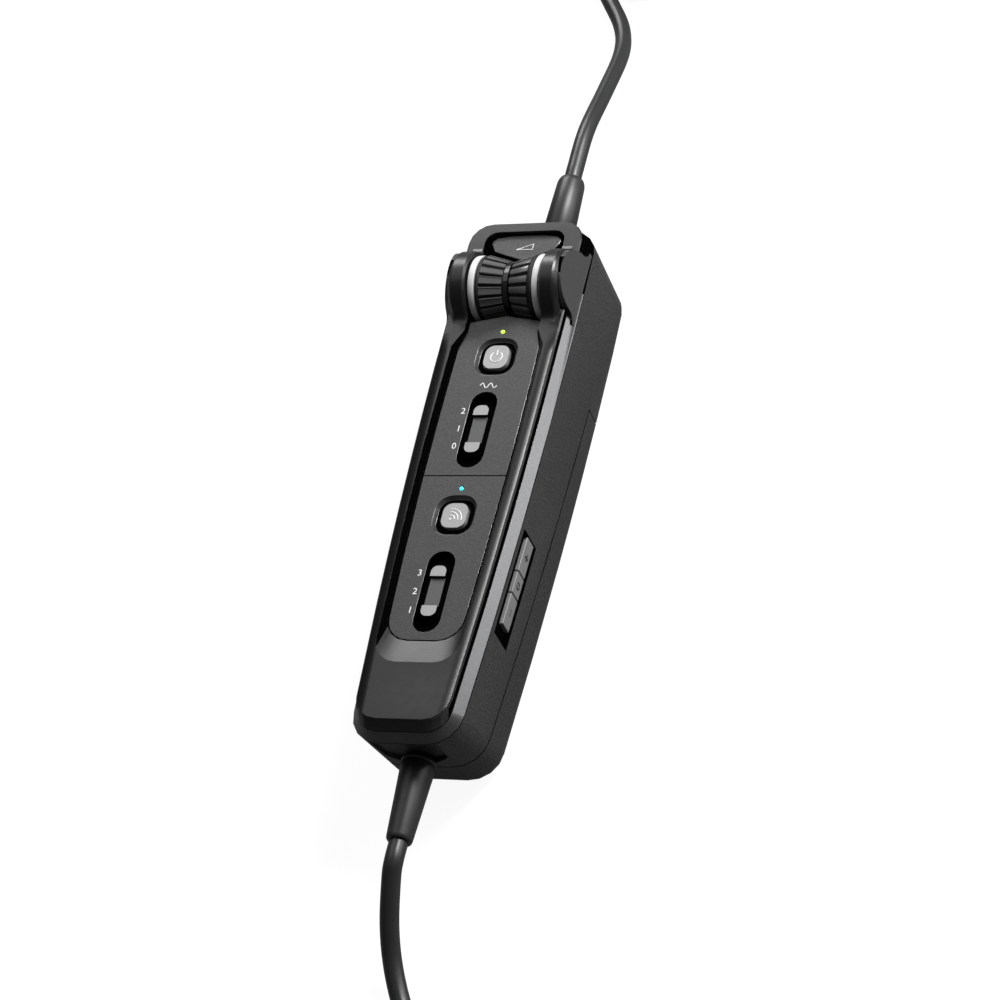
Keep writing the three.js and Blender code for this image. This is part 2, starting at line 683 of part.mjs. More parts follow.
const volumeEdge = [
  [0, BODY_TOP - 11.1],
  [8.1, BODY_TOP - 8.1],
  [9.4, BODY_TOP - 5.6],
  [9.3, BODY_TOP - 4.7],
  [8.3, BODY_TOP - 3.8],
  [4.5, BODY_TOP - 3.2],
  [0, BODY_TOP - 3.1],
];
const volumeRing = (z) => {
  const left = volumeEdge.filter(([x]) => x > 0).map(([x, y]) => [-x, y]).reverse();
  return [...volumeEdge, ...left].map(([x, y]) => [x, y, z]);
};
piece("volume_plate", loft([volumeRing(plateBottomZ), volumeRing(PLATE_TOP_Z)]), 0x57585a, 0.5, 0.1);

// ---------------------------------------------------------------- volume wheels
function treadRing(x, radius, ribHeight) {
  const points = between(0, RIB_COUNT * 4, RIB_COUNT * 4).slice(0, -1).map((step) => {
    const onRib = step % 4 < 2;
    const angle = (step / (RIB_COUNT * 4)) * 2 * Math.PI;
    const r = radius - (onRib ? 0 : ribHeight);
    return [x, WHEEL_Y + r * Math.cos(angle), WHEEL_Z + r * Math.sin(angle)];
  });
  return points;
}

const cupRadius = POT_RADIUS + GAP;
const tread = loft(
  [
    treadRing(TREAD_INNER_X, TREAD_WAIST_RADIUS, RIB_HEIGHT),
    treadRing(TREAD_FLANGE_X, TREAD_RIM_RADIUS, RIB_HEIGHT),
    treadRing(TREAD_FLANGE_X + 0.05, WHEEL_RADIUS - 0.05, 0),
    treadRing(TREAD_OUTER_X, WHEEL_RADIUS - 0.05, 0),
  ],
  (p) => new THREE.Vector2(p[1], p[2]),
)
  .subtract(turnedX(rod(cupRadius, POT_INNER_X - GAP, 12), WHEEL_Y, WHEEL_Z, 32))
  .subtract(turnedX(rod(POT_SHAFT_RADIUS + GAP, 0, 6), WHEEL_Y, WHEEL_Z, 20));
const wheelRing = turnedX(
  [
    [cupRadius, RING_INNER_X],
    [WHEEL_RADIUS - 0.15, RING_INNER_X],
    [WHEEL_RADIUS, RING_INNER_X + 0.2],
    [WHEEL_RADIUS, RING_OUTER_X - 0.3],
    [WHEEL_RADIUS - 0.3, RING_OUTER_X],
    [cupRadius, RING_OUTER_X],
    [cupRadius, RING_INNER_X],
  ],
  WHEEL_Y,
  WHEEL_Z,
  36,
);
const pot = turnedX(
  [
    [0, TREAD_INNER_X + 0.25],
    [POT_SHAFT_RADIUS, TREAD_INNER_X + 0.25],
    [POT_SHAFT_RADIUS, POT_INNER_X],
    [POT_RADIUS, POT_INNER_X],
    [POT_RADIUS, EAR_INNER_X - GAP],
    [0, EAR_INNER_X - GAP],
  ],
  WHEEL_Y,
  WHEEL_Z,
  28,
);
for (const [side, place] of [["right", (s) => s], ["left", mirrored]]) {
  piece(`${side}_wheel_tread`, place(tread), 0x1b1b1c, 0.38);
  piece(`${side}_wheel_ring`, place(wheelRing), 0xd4d6d7, 0.35);
  piece(`${side}_volume_control`, place(pot), 0x777a7c, 0.45, 0.6);
}
const divider = turnedX(rod(TREAD_WAIST_RADIUS - 0.1, -DIVIDER_HALF, DIVIDER_HALF), WHEEL_Y, WHEEL_Z, 36)
  .add(box([-DIVIDER_HALF, WHEEL_Y - 5, 2.2 + GAP], [DIVIDER_HALF, WHEEL_Y + 5, WHEEL_Z]));
piece("wheel_divider", divider, 0x222223, 0.5);

// ---------------------------------------------------------------- push buttons
const switchTopZ = 27.0;
const boardTopZ = BOARD_Z + BOARD_THICKNESS;
const partBaseZ = boardTopZ + GAP;

function pushButton(y) {
  const skirtLow = switchTopZ + BUTTON_TRAVEL + GAP;
  const skirtHigh = shellBottomZ - GAP;
  const skirt = roundedBlock(BUTTON_WIDTH + 2, BUTTON_LENGTH + 2, BUTTON_CORNER + 1, y, skirtLow, skirtHigh);
  const cap = loft([
    roundedRing(BUTTON_WIDTH, BUTTON_LENGTH, BUTTON_CORNER, y, skirtLow + 0.2, 5),
    roundedRing(BUTTON_WIDTH, BUTTON_LENGTH, BUTTON_CORNER, y, BUTTON_TOP_Z - 0.35, 5),
    roundedRing(BUTTON_WIDTH - 0.7, BUTTON_LENGTH - 0.7, BUTTON_CORNER - 0.35, y, BUTTON_TOP_Z, 5),
  ]);
  return cap.add(skirt);
}

function pressSwitch(y) {
  const base = box([-3.1, y - 3.1, partBaseZ], [3.1, y + 3.1, switchTopZ - 1]);
  return base.add(turnedZ(rod(1.7, switchTopZ - 1.2, switchTopZ), 0, y, 16));
}

piece("power_button", pushButton(POWER_Y), 0xb4b7ba, 0.3, 0.5);
piece("wireless_button", pushButton(WIRELESS_Y), 0xb4b7ba, 0.3, 0.5);
piece("power_press_switch", pressSwitch(POWER_Y), 0x6d6f72, 0.4, 0.5);
piece("wireless_press_switch", pressSwitch(WIRELESS_Y), 0x6d6f72, 0.4, 0.5);

// ---------------------------------------------------------------- slide switches
function slider(y) {
  const baseLow = deckTopZ + GAP;
  const baseHigh = PLATE_TOP_Z - 0.75;
  const base = roundedBlock(SLIDER_WIDTH, SLIDER_LENGTH, SLIDER_WIDTH / 2, y, baseLow, baseHigh);
  const stem = box(
    [-1.2, y - stemLength / 2, switchTopZ + GAP],
    [1.2, y + stemLength / 2, baseLow + 0.3],
  );
  const bridge = box(
    [-TAB_WIDTH / 2 + 0.1, y - TAB_SPAN / 2 + 1, baseHigh - 0.2],
    [TAB_WIDTH / 2 - 0.1, y + TAB_SPAN / 2 - 1, baseHigh + 0.25],
  );
  const tabMiddle = (TAB_SPAN - TAB_LENGTH) / 2;
  const tab = (middle) => roundedBlock(TAB_WIDTH, TAB_LENGTH, 1.2, middle, baseHigh - 0.2, PLATE_TOP_Z + 0.35);
  return base.add(stem).add(bridge).add(tab(y + tabMiddle)).add(tab(y - tabMiddle));
}

function slideSwitch(y) {
  return box([-3.4, y - 8, partBaseZ], [3.4, y + 8, switchTopZ]);
}

piece("upper_slider", slider(UPPER_SLOT_Y), 0xb9bcbf, 0.35, 0.2);
piece("lower_slider", slider(LOWER_SLOT_Y), 0xb9bcbf, 0.35, 0.2);
piece("upper_slide_switch", slideSwitch(UPPER_SLOT_Y), 0x6d6f72, 0.4, 0.5);
piece("lower_slide_switch", slideSwitch(LOWER_SLOT_Y), 0x6d6f72, 0.4, 0.5);

// ---------------------------------------------------------------- lights
function lightPipe(y) {
  return turnedZ(
    [
      [0, partBaseZ],
      [1.5, partBaseZ],
      [1.5, partBaseZ + 1.8],
      [LIGHT_RADIUS, partBaseZ + 2.6],
      [LIGHT_RADIUS, PLATE_TOP_Z],
      [LIGHT_RADIUS * 0.6, PLATE_TOP_Z + 0.18],
      [0, PLATE_TOP_Z + 0.22],
    ],
    0,
    y,
    12,
  );
}
piece("power_light", lightPipe(UPPER_LIGHT_Y), 0xb8e04a, 0.2);
piece("wireless_light", lightPipe(LOWER_LIGHT_Y), 0x58d3e8, 0.2);

// ---------------------------------------------------------------- side keys
const keyLimit = bodyBlock(KEY_SINK, SEAM_Z);
function sideKey({ from, to }) {
  return box([keyInnerX, from, KEY_LOW_Z], [beyondSide, to, KEY_HIGH_Z]).intersect(keyLimit);
}
piece("plus_key", sideKey(PLUS_KEY), 0x5b5d60, 0.55);
piece("link_key", sideKey(LINK_KEY), 0x5b5d60, 0.55);
piece("minus_key", sideKey(MINUS_KEY), 0x5b5d60, 0.55);
const keyBoardX = keyInnerX - KEY_BOARD_CLEARANCE;
const keyBoard = box(
  [keyBoardX - KEY_BOARD_THICKNESS, MINUS_KEY.from - 3.5, PARTITION_TOP_Z + GAP],
  [keyBoardX, PLUS_KEY.to + 2.6, KEY_HIGH_Z + 0.8],
);
piece("key_board", keyBoard, 0x2f5a3a, 0.5);

// ---------------------------------------------------------------- boards, cells and contacts
const boardPlan = { bottom: BOARD_BOTTOM, top: BOARD_TOP, bottomRadius: 2, topRadius: 2 };
const boardRing = (z) => bodyRing(z, BOARD_INSET, boardPlan);
piece("main_board", loft([boardRing(BOARD_Z), boardRing(boardTopZ)]), 0x2f5a3a, 0.5);

const cellTop = BAY_TOP - GAP - 0.7 - GAP;
const cellZ = DOOR_FLOOR + GAP + CELL_RADIUS;
const cellX = CELL_RADIUS + GAP / 2;
const cellProfile = [
  [0, -CELL_LENGTH],
  [4.6, -CELL_LENGTH],
  [CELL_RADIUS - 0.4, -CELL_LENGTH + 0.4],
  [CELL_RADIUS, -CELL_LENGTH + 0.9],
  [CELL_RADIUS, -2.0],
  [CELL_RADIUS - 0.6, -1.1],
  [2.75, -1.1],
  [2.75, 0],
  [0, 0],
];
const cell = solidOf(turnedY(cellProfile, 20)).translate([0, cellTop, cellZ]);
const flipped = solidOf(turnedY(cellProfile, 20).rotateX(Math.PI))
  .translate([0, cellTop - CELL_LENGTH, cellZ]);
piece("right_cell", cell.translate([cellX, 0, 0]), 0x8a8d90, 0.35, 0.7);
piece("left_cell", flipped.translate([-cellX, 0, 0]), 0x8a8d90, 0.35, 0.7);
const contactLow = cellZ - 4.5;
const contactHigh = cellZ + 4.5;
const upperContact = box([-12, BAY_TOP - GAP - 0.7, contactLow], [12, BAY_TOP - GAP, contactHigh]);
piece("upper_contact", upperContact, 0xb9bcc0, 0.3, 0.9);
const springCone = solidOf(turnedY([[0, 0], [4.2, 0], [4.2, 0.6], [2.2, 4.6], [0, 4.6]], 20))
  .translate([cellX, bulkheadY + GAP, cellZ]);
const lowerContact = box([-12, bulkheadY + GAP, contactLow], [12, bulkheadY + GAP + 0.6, contactHigh])
  .add(bothSides(springCone));
piece("lower_contact", lowerContact, 0xb9bcc0, 0.3, 0.9);
const setupSwitches = box([-7.5, -54, BAY_ROOF_Z - GAP - 4.5], [7.5, -34, BAY_ROOF_Z - GAP]);
piece("setup_switch_block", setupSwitches, 0x7c2a24, 0.5);

const screwSeatZ = BAY_ROOF_Z - GAP;
const screwProfile = [
  [0, screwSeatZ - SCREW_HEAD_HEIGHT],
  [SCREW_HEAD_RADIUS - 0.4, screwSeatZ - SCREW_HEAD_HEIGHT],
  [SCREW_HEAD_RADIUS, screwSeatZ - SCREW_HEAD_HEIGHT + 0.4],
  [SCREW_HEAD_RADIUS, screwSeatZ],
  [SCREW_SHANK_RADIUS, screwSeatZ],
  [SCREW_SHANK_RADIUS, SCREW_TIP_Z],
  [0, SCREW_TIP_Z],
];
for (const [place, { x, y }] of [["upper", TOP_SCREW], ["lower", BOTTOM_SCREW]]) {
  for (const [side, sign] of [["right", 1], ["left", -1]]) {
    piece(`${place}_${side}_screw`, turnedZ(screwProfile, sign * x, y, 12), 0x9a9da0, 0.3, 0.9);
  }
}

// ---------------------------------------------------------------- boots
const lowerBootProfile = [
  [0, -LOWER_BOOT_REACH],
  [2.7, -LOWER_BOOT_REACH],
  [3.0, 0.2 - LOWER_BOOT_REACH],
  [3.2, 1.0 - LOWER_BOOT_REACH],
  [3.95, -4.4],
  [4.24, 0.4],
  [4.05, 0.6],
  [4.05, 0.9],
  [4.28, 1.1],
  [4.3, 1.4],
  [3.2, 1.6],
  [3.2, 4.8],
  [4.2, 5.0],
  [4.2, 7.5],
  [0, 7.5],
];
const lowerBoot = solidOf(turnedY(lowerBootProfile, 20)).translate([0, BODY_BOTTOM, LOWER_PORT_Z]);
piece("lower_boot", lowerBoot, 0x2c2d2f, 0.5);

const upperBootProfile = [
  [0, -6.2],
  [5.0, -6.2],
  [5.0, -3.0],
  [3.6, -2.8],
  [3.6, 0.2],
  [4.5, 0.3],
  [4.5, 3.0],
  [4.2, 3.2],
  [4.2, 3.9],
  [4.45, 4.1],
  [4.42, 6.0],
  [4.1, 6.2],
  [4.1, 6.9],
  [4.38, 7.1],
  [3.75, UPPER_BOOT_REACH - 2.0],
  [3.3, UPPER_BOOT_REACH - 0.4],
  [2.7, UPPER_BOOT_REACH],
  [0, UPPER_BOOT_REACH],
];
const upperBoot = solidOf(turnedY(upperBootProfile, 20)).translate([0, BODY_TOP, UPPER_PORT_Z]);
piece("upper_boot", upperBoot, 0x2c2d2f, 0.5);

// ---------------------------------------------------------------- cords
function tube(points, diameter, steps, sides) {
  const path = new THREE.CatmullRomCurve3(points.map((p) => new THREE.Vector3(...p)), false, "centripetal");
  const around = arc(0, 0, diameter / 2, 0, 360, sides).slice(0, -1);
  const section = new THREE.Shape(around.map((p) => new THREE.Vector2(...p)));
  const geometry = new THREE.ExtrudeGeometry(section, { steps, extrudePath: path, bevelEnabled: false });
  return { solid: solidOf(geometry), length: path.getLength() };
}

// One loop of a hank, by share of a turn: a run ahead, a fold, a run back, a fold.
function hankPlace(share, radius, run) {
  const quarter = Math.floor(share * 4) % 4;
  const part = share * 4 - Math.floor(share * 4);
  const [c, s] = [Math.cos(Math.PI * part) * radius, Math.sin(Math.PI * part) * radius];
  return [
    [radius, run * part],
    [c, run + s],
    [-radius, run * (1 - part)],
    [-c, -s],
  ][quarter];
}

// Two layers: inward along the floor, up a layer along a run while the spiral reverses, outward on top.
// At the waist, under the tie, the runs are drawn in and lifted by the tie's thickness.
function hankPath({ y, run, side, heading, lead }) {
  const total = 2 * HANK_TURNS;
  const ease = 0.125;
  const inner = HANK_RADIUS - HANK_PITCH * (HANK_TURNS - ease / 2);
  const place = ([x, ahead, z]) => {
    const away = Math.min(1, Math.abs(ahead - run / 2) / WAIST_REACH);
    const waist = (1 + Math.cos(Math.PI * away)) / 2;
    const drawn = (HANK_RUN_X - HANK_RADIUS + x) * (1 - WAIST_DRAW * waist);
    return [side * drawn, y + heading * ahead, z + WAIST_RISE * waist];
  };
  const points = between(0, total, Math.round(total * HANK_STEPS)).map((turn) => {
    const away = Math.abs(turn - HANK_TURNS);
    const spiral = away > ease ? away - ease / 2 : away ** 2 / (2 * ease);
    const climb = THREE.MathUtils.smoothstep(turn, HANK_TURNS - ease, HANK_TURNS + ease);
    const [x, ahead] = hankPlace(turn, inner + HANK_PITCH * spiral, run);
    return place([x, ahead, CORD_REST_Z + HANK_LAYER * climb]);
  });
  const before = [[side * HANK_RUN_X, y - heading * lead, CORD_REST_Z]];
  return [...before, ...points];
}

function leastSelfGap(points, diameter) {
  let least = Infinity;
  for (let i = 0; i < points.length; i += 1) {
    let along = 0;
    for (let j = i + 1; j < points.length; j += 1) {
      const [p, q] = [points[j - 1], points[j]];
      along += Math.hypot(q[0] - p[0], q[1] - p[1], q[2] - p[2]);
      if (along < 3 * diameter) {
        continue;
      }
      const [a, b] = [points[i], points[j]];
      least = Math.min(least, Math.hypot(a[0] - b[0], a[1] - b[1], a[2] - b[2]) - diameter);
    }
  }
  return least;
}

function hank({ name, y, run, side, heading, lead, ahead }) {
  const points = [...hankPath({ y, run, side, heading, lead }), ...ahead];
  const { solid, length } = tube(points, CORD_DIAMETER, points.length - 1, HANK_SIDES);
  piece(name, solid, 0x2e2f31, 0.5);
  const least = leastSelfGap(points, CORD_DIAMETER);
  console.log(name, "length", length.toFixed(1), "least gap to itself", least.toFixed(2));
}

function tie(name, y) {
  const halfX = HANK_RUN_X + CORD_DIAMETER / 2 - 0.1;
  const top = CORD_REST_Z + HANK_LAYER + CORD_DIAMETER / 2 + WAIST_RISE + GAP + TIE_THICKNESS;
  const ring = (shrink, radius) => (at) => {
    const flatRing = roundedRing(2 * (halfX - shrink), top - 0.05 - 2 * shrink, radius, 0, 0);
    return flatRing.map(([x, z]) => [x, y + at, (top + 0.05) / 2 + z]);
  };
  const flat = (p) => new THREE.Vector2(p[0], p[2]);
  const outside = loft([-TIE_WIDTH / 2, TIE_WIDTH / 2].map(ring(0, 2.6)), flat);
  const inside = loft([-TIE_WIDTH / 2 - 1, TIE_WIDTH / 2 + 1].map(ring(TIE_THICKNESS, 2.0)), flat);
  piece(name, outside.subtract(inside), 0x202124, 0.8);
}

function cord(name, points, steps) {
  const { solid, length } = tube(points, CORD_DIAMETER, steps, 8);
  piece(name, solid, 0x2e2f31, 0.5);
  console.log(name, "length", length.toFixed(1));
}

const HANK_LEAD = 5;
const LOWER_CORD_RUN = 62.6;
const UPPER_CORD_RUN = 97.4;
const lowerRun = 66;
const upperRun = 41;
const lowerHankY = LOWER_BOOT_TIP - LOWER_CORD_RUN;
const upperHankY = UPPER_BOOT_TIP + UPPER_CORD_RUN;
const hankTopZ = CORD_REST_Z + HANK_LAYER;
const lowerFarY = lowerHankY - lowerRun;
const upperFarY = upperHankY + upperRun;
const lowerPlugY = lowerFarY - 17;
const upperPlugY = upperFarY + 17;
const lowerPlugX = 10;
const upperPlugX = -11;

cord("lower_cord", [
  [0, LOWER_BOOT_TIP - GAP, LOWER_PORT_Z],
  [0, LOWER_BOOT_TIP - GAP - CORD_DIAMETER, LOWER_PORT_Z],
  [-0.3, LOWER_BOOT_TIP - 8.6, 16.0],
  [-0.5, LOWER_BOOT_TIP - 17.6, 10.6],
  [0.6, LOWER_BOOT_TIP - 25.6, 5.8],
  [0.286 * HANK_RUN_X, LOWER_BOOT_TIP - 34.6, CORD_REST_Z + 0.5],
  [0.694 * HANK_RUN_X, LOWER_BOOT_TIP - 43.6, CORD_REST_Z],
  [0.946 * HANK_RUN_X, LOWER_BOOT_TIP - 49.6, CORD_REST_Z],
  [HANK_RUN_X, lowerHankY + HANK_LEAD + GAP, CORD_REST_Z],
], 32);
cord("upper_cord", [
  [0, UPPER_BOOT_TIP + GAP, UPPER_PORT_Z],
  [0, UPPER_BOOT_TIP + GAP + CORD_DIAMETER, UPPER_PORT_Z],
  [0, UPPER_BOOT_TIP + 18.4, 15.2],
  [0, UPPER_BOOT_TIP + 36.4, 10.2],
  [-0.4, UPPER_BOOT_TIP + 54.4, 5.2],
  [-0.231 * HANK_RUN_X, UPPER_BOOT_TIP + 66.4, CORD_REST_Z + 0.6],
  [-0.639 * HANK_RUN_X, UPPER_BOOT_TIP + 77.4, CORD_REST_Z],
  [-0.939 * HANK_RUN_X, UPPER_BOOT_TIP + 85.4, CORD_REST_Z],
  [-HANK_RUN_X, upperHankY - HANK_LEAD - GAP, CORD_REST_Z],
], 42);

hank({
  name: "lower_hank",
  y: lowerHankY,
  run: lowerRun,
  side: 1,
  heading: -1,
  lead: HANK_LEAD,
  ahead: [
    [13.6, lowerFarY - 6, hankTopZ - 0.1],
    [10.8, lowerFarY - 11, hankTopZ - 0.4],
    [lowerPlugX, lowerPlugY + GAP, hankTopZ - 0.5],
  ],
});
hank({
  name: "upper_hank",
  y: upperHankY,
  run: upperRun,
  side: -1,
  heading: 1,
  lead: HANK_LEAD,
  ahead: [
    [-14.0, upperFarY + 6, hankTopZ - 0.3],
    [-11.8, upperFarY + 11, hankTopZ - 1.2],
    [upperPlugX, upperPlugY - GAP, hankTopZ - 1.7],
  ],
});
tie("lower_tie", lowerHankY - lowerRun / 2);
tie("upper_tie", upperHankY + upperRun / 2);

// ---------------------------------------------------------------- cord ends
const earplugProfile = [
  [0, 0],
  [3.2, 0],
  [3.6, 0.5],
  [5.2, 14],
  [5.6, 15],
  [5.6, 30],
  [5.0, 30.6],
  [0, 30.6],
];
const earplugPlace = [upperPlugX, upperPlugY, hankTopZ - 1.7];
const earplug = solidOf(turnedY(earplugProfile, 16)).translate(earplugPlace);
piece("earcup_plug_body", earplug, 0x2a2b2d, 0.5);
const earplugSleeve = solidOf(turnedY([[3.4, 0], [4.6, 0], [4.6, 10], [3.4, 10], [3.4, 0]], 18))
  .add(solidOf(turnedY(rod(3.6, 0, 2), 18)))
  .translate([upperPlugX, upperPlugY + 30.6 + GAP, hankTopZ - 1.7]);
piece("earcup_plug_sleeve", earplugSleeve, 0xa9acaf, 0.3, 0.9);

const aircraftPlugProfile = [
  [0, 0],
  [2.9, 0],
  [3.3, -0.5],
  [4.4, -14],
  [6.6, -18],
  [6.9, -22],
  [6.9, -42],
  [6.4, -44],
  [0, -44],
];
const aircraftPlug = solidOf(turnedY(aircraftPlugProfile, 20))
  .translate([lowerPlugX, lowerPlugY, hankTopZ - 0.5]);
piece("aircraft_plug_body", aircraftPlug, 0x252628, 0.45);
const shankProfile = [
  [0, 0],
  [3.55, 0],
  [3.55, -29],
  [2.4, -31],
  [3.3, -33],
  [1.8, -36],
  [0, -36],
];
const aircraftShank = solidOf(turnedY(shankProfile, 16))
  .translate([lowerPlugX, lowerPlugY - 44 - GAP, hankTopZ - 0.5]);
piece("aircraft_plug_shank", aircraftShank, 0xc9b27a, 0.25, 0.95);

export default object;
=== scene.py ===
import math

import bmesh
import bpy
from bpy.props import FloatProperty, FloatVectorProperty, IntProperty, PointerProperty
from mathutils import Matrix, Vector


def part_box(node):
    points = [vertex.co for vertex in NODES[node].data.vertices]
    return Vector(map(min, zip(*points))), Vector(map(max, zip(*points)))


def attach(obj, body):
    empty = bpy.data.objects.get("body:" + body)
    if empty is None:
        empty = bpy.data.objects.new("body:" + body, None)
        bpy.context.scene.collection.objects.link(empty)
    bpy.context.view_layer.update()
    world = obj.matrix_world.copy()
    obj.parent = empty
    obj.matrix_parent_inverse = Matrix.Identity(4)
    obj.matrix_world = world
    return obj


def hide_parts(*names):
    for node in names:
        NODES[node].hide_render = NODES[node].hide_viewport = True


bl_info = {
    "name": "Headset Control Module",
    "version": (1, 0, 0),
    "blender": (4, 5, 0),
    "location": "3D View > Sidebar > Module",
    "description": "Makes the visible pieces of an in-line control module and its cords",
    "category": "Object",
}

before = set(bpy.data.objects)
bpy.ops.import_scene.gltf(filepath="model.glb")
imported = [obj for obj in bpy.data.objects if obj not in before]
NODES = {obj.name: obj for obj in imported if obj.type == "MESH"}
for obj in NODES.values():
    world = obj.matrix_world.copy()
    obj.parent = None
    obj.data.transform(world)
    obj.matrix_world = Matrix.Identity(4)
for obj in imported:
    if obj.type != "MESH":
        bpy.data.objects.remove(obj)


def mm(*values):
    """Millimetres to metres: a number for one value, a vector for three."""
    scaled = [value * 0.001 for value in values]
    return scaled[0] if len(scaled) == 1 else Vector(scaled)


def heights(node):
    """The lowest and the highest Z of a CAD node, in millimetres."""
    low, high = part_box(node)
    return low.z * 1000, high.z * 1000


def linked(name, data):
    made = bpy.data.objects.new(name, data)
    bpy.context.scene.collection.objects.link(made)
    return made


# --------------------------------------
# Sizes and colours that a user would change
# --------------------------------------


def length_property(name, description, default):
    return FloatProperty(name=name, description=description, default=default, unit="LENGTH", precision=5)


def colour_property(name, description, default):
    return FloatVectorProperty(
        name=name, description=description, default=default, size=3, subtype="COLOR", min=0, max=1
    )


def power_property(name, description, default):
    return FloatProperty(name=name, description=description, default=default, min=0, unit="POWER")


class ModuleSizes(bpy.types.PropertyGroup):
    edge_round: length_property("Edge round", "Rounding of the moulded edges", mm(0.22))
    plate_edge_round: length_property("Plate edge", "Rounding of the thin plates' edges", mm(0.2))
    seam_edge_round: length_property("Seam edge", "Rounding of the housing's seam edges", mm(0.13))
    cord_diameter: length_property("Cord", "Diameter of the cable jacket", mm(4.6))
    label_height: length_property("Label height", "Height of the printed numbers", mm(1.75))
    label_relief: length_property("Label relief", "Thickness of the printed marks", mm(0.03))
    wheel_ribs: IntProperty(name="Ribs", description="Bars round each wheel", default=18, min=8, max=40)


class ModuleColours(bpy.types.PropertyGroup):
    cover: colour_property("Cover", "Front cover", (0.009, 0.009, 0.0093))
    band: colour_property("Band", "Painted band round the sides", (0.13, 0.131, 0.133))
    plate: colour_property("Plate", "Plates that carry the controls", (0.040, 0.040, 0.041))
    housing: colour_property("Housing", "Rear housing and battery door", (0.020, 0.020, 0.021))
    button: colour_property("Button", "Silver button caps", (0.34, 0.342, 0.345))
    ring: colour_property("Ring", "Pale rings on the wheels", (0.66, 0.665, 0.67))
    tread: colour_property("Tread", "Ribbed rubber of the wheels", (0.008, 0.008, 0.0082))
    tab: colour_property("Tab", "Pale ends of the sliders", (0.34, 0.342, 0.345))
    key: colour_property("Key", "Rubber keys on the side", (0.20, 0.201, 0.203))
    cord: colour_property("Cord", "Cable jacket and strain reliefs", (0.020, 0.0205, 0.021))
    print: colour_property("Print", "Printed numbers and marks", (0.85, 0.85, 0.85))


class ModuleLight(bpy.types.PropertyGroup):
    key: power_property("Key", "Power of the large light", 1.3)
    edge: power_property("Edge", "Power of the light on the edges", 15.0)
    rim: power_property("Rim", "Power of the side light", 7.0)
    back: power_property("Back", "Power of the back light", 5.5)
    sky: FloatProperty(name="Sky", description="Strength of the surroundings", default=0.08, min=0)


def sizes():
    return bpy.context.scene.module_sizes


def colours():
    return bpy.context.scene.module_colours


# --------------------------------------
# Shader groups and materials
# --------------------------------------

# The rails' crown, in millimetres. It starts at an X that bows inwards away from the middle Y; the bow
# is per metre. It is full up to one Y and gone at the next, and steeper on the left by the extra share.
CROWN_START_X = 12.8
CROWN_MIDDLE_Y = 50
CROWN_BOW = 0.265
CROWN_FULL_Y = 34
CROWN_END_Y = 40
CROWN_LEFT_EXTRA = 1.2

COAT_ROUGHNESS = 0.12
POLISH_GAIN = 2.5
POLISH_LIFT = 0.05
BUMP_STRENGTH_PER_MM = 4


def shader_group(name, inputs, outputs):
    """A group that is made once: the function below fills in its nodes between the two ends."""

    def wrap(fill):
        def get():
            if name in bpy.data.node_groups:
                return bpy.data.node_groups[name]
            group = bpy.data.node_groups.new(name, "ShaderNodeTree")
            group.interface.new_socket(name="Vector", in_out="INPUT", socket_type="NodeSocketVector")
            for title, default in inputs.items():
                made = group.interface.new_socket(name=title, in_out="INPUT", socket_type="NodeSocketFloat")
                made.default_value = default
            for title in outputs:
                group.interface.new_socket(name=title, in_out="OUTPUT", socket_type="NodeSocketFloat")
            given = group.nodes.new("NodeGroupInput")
            fill(group.nodes, group.links, given, group.nodes.new("NodeGroupOutput"))
            return group

        return get

    return wrap


def open_nodes(holder):
    """The nodes and links of a material or world."""
    holder.use_nodes = True
    return holder.node_tree.nodes, holder.node_tree.links


def math_node(nodes, links, operation, first, second=None, third=None):
    node = nodes.new("ShaderNodeMath")
    node.operation = operation
    for slot, value in enumerate((first, second, third)):
        if value is None:
            continue
        if hasattr(value, "links"):
            links.new(value, node.inputs[slot])
        else:
            node.inputs[slot].default_value = value
    return node.outputs[0]


@shader_group("Moulded grain", {"Scale": 3000.0}, ("Height", "Tone"))
def grain_group(nodes, links, given, put):
    """Fine spark-eroded grain of a moulding: a height, and a tone that varies with it."""
    fine = nodes.new("ShaderNodeTexNoise")
    fine.inputs["Detail"].default_value = 3.0
    fine.inputs["Roughness"].default_value = 0.65
    pits = nodes.new("ShaderNodeTexVoronoi")
    links.new(given.outputs["Vector"], fine.inputs["Vector"])
    links.new(given.outputs["Vector"], pits.inputs["Vector"])
    links.new(given.outputs["Scale"], fine.inputs["Scale"])
    links.new(math_node(nodes, links, "MULTIPLY", given.outputs["Scale"], 0.8), pits.inputs["Scale"])
    depth = math_node(nodes, links, "MULTIPLY_ADD", pits.outputs["Distance"], 0.45, fine.outputs["Fac"])
    links.new(depth, put.inputs["Height"])
    spread = nodes.new("ShaderNodeMapRange")
    spread.inputs["From Min"].default_value = 0.35
    spread.inputs["From Max"].default_value = 1.05
    links.new(depth, spread.inputs["Value"])
    links.new(spread.outputs["Result"], put.inputs["Tone"])


@shader_group("Handling marks", {"Scale": 60.0, "Roughness": 0.5, "Spread": 0.1}, ("Roughness", "Tone"))
def handling_group(nodes, links, given, put):
    """Soft marks from fingers: a slow change of gloss and tone."""
    cloud = nodes.new("ShaderNodeTexNoise")
    cloud.inputs["Detail"].default_value = 4.0
    cloud.inputs["Distortion"].default_value = 0.6
    links.new(given.outputs["Vector"], cloud.inputs["Vector"])
    links.new(given.outputs["Scale"], cloud.inputs["Scale"])
    centred = math_node(nodes, links, "SUBTRACT", cloud.outputs["Fac"], 0.5)
    scaled = math_node(nodes, links, "MULTIPLY", centred, given.outputs["Spread"])
    links.new(math_node(nodes, links, "ADD", given.outputs["Roughness"], scaled), put.inputs["Roughness"])
    links.new(cloud.outputs["Fac"], put.inputs["Tone"])


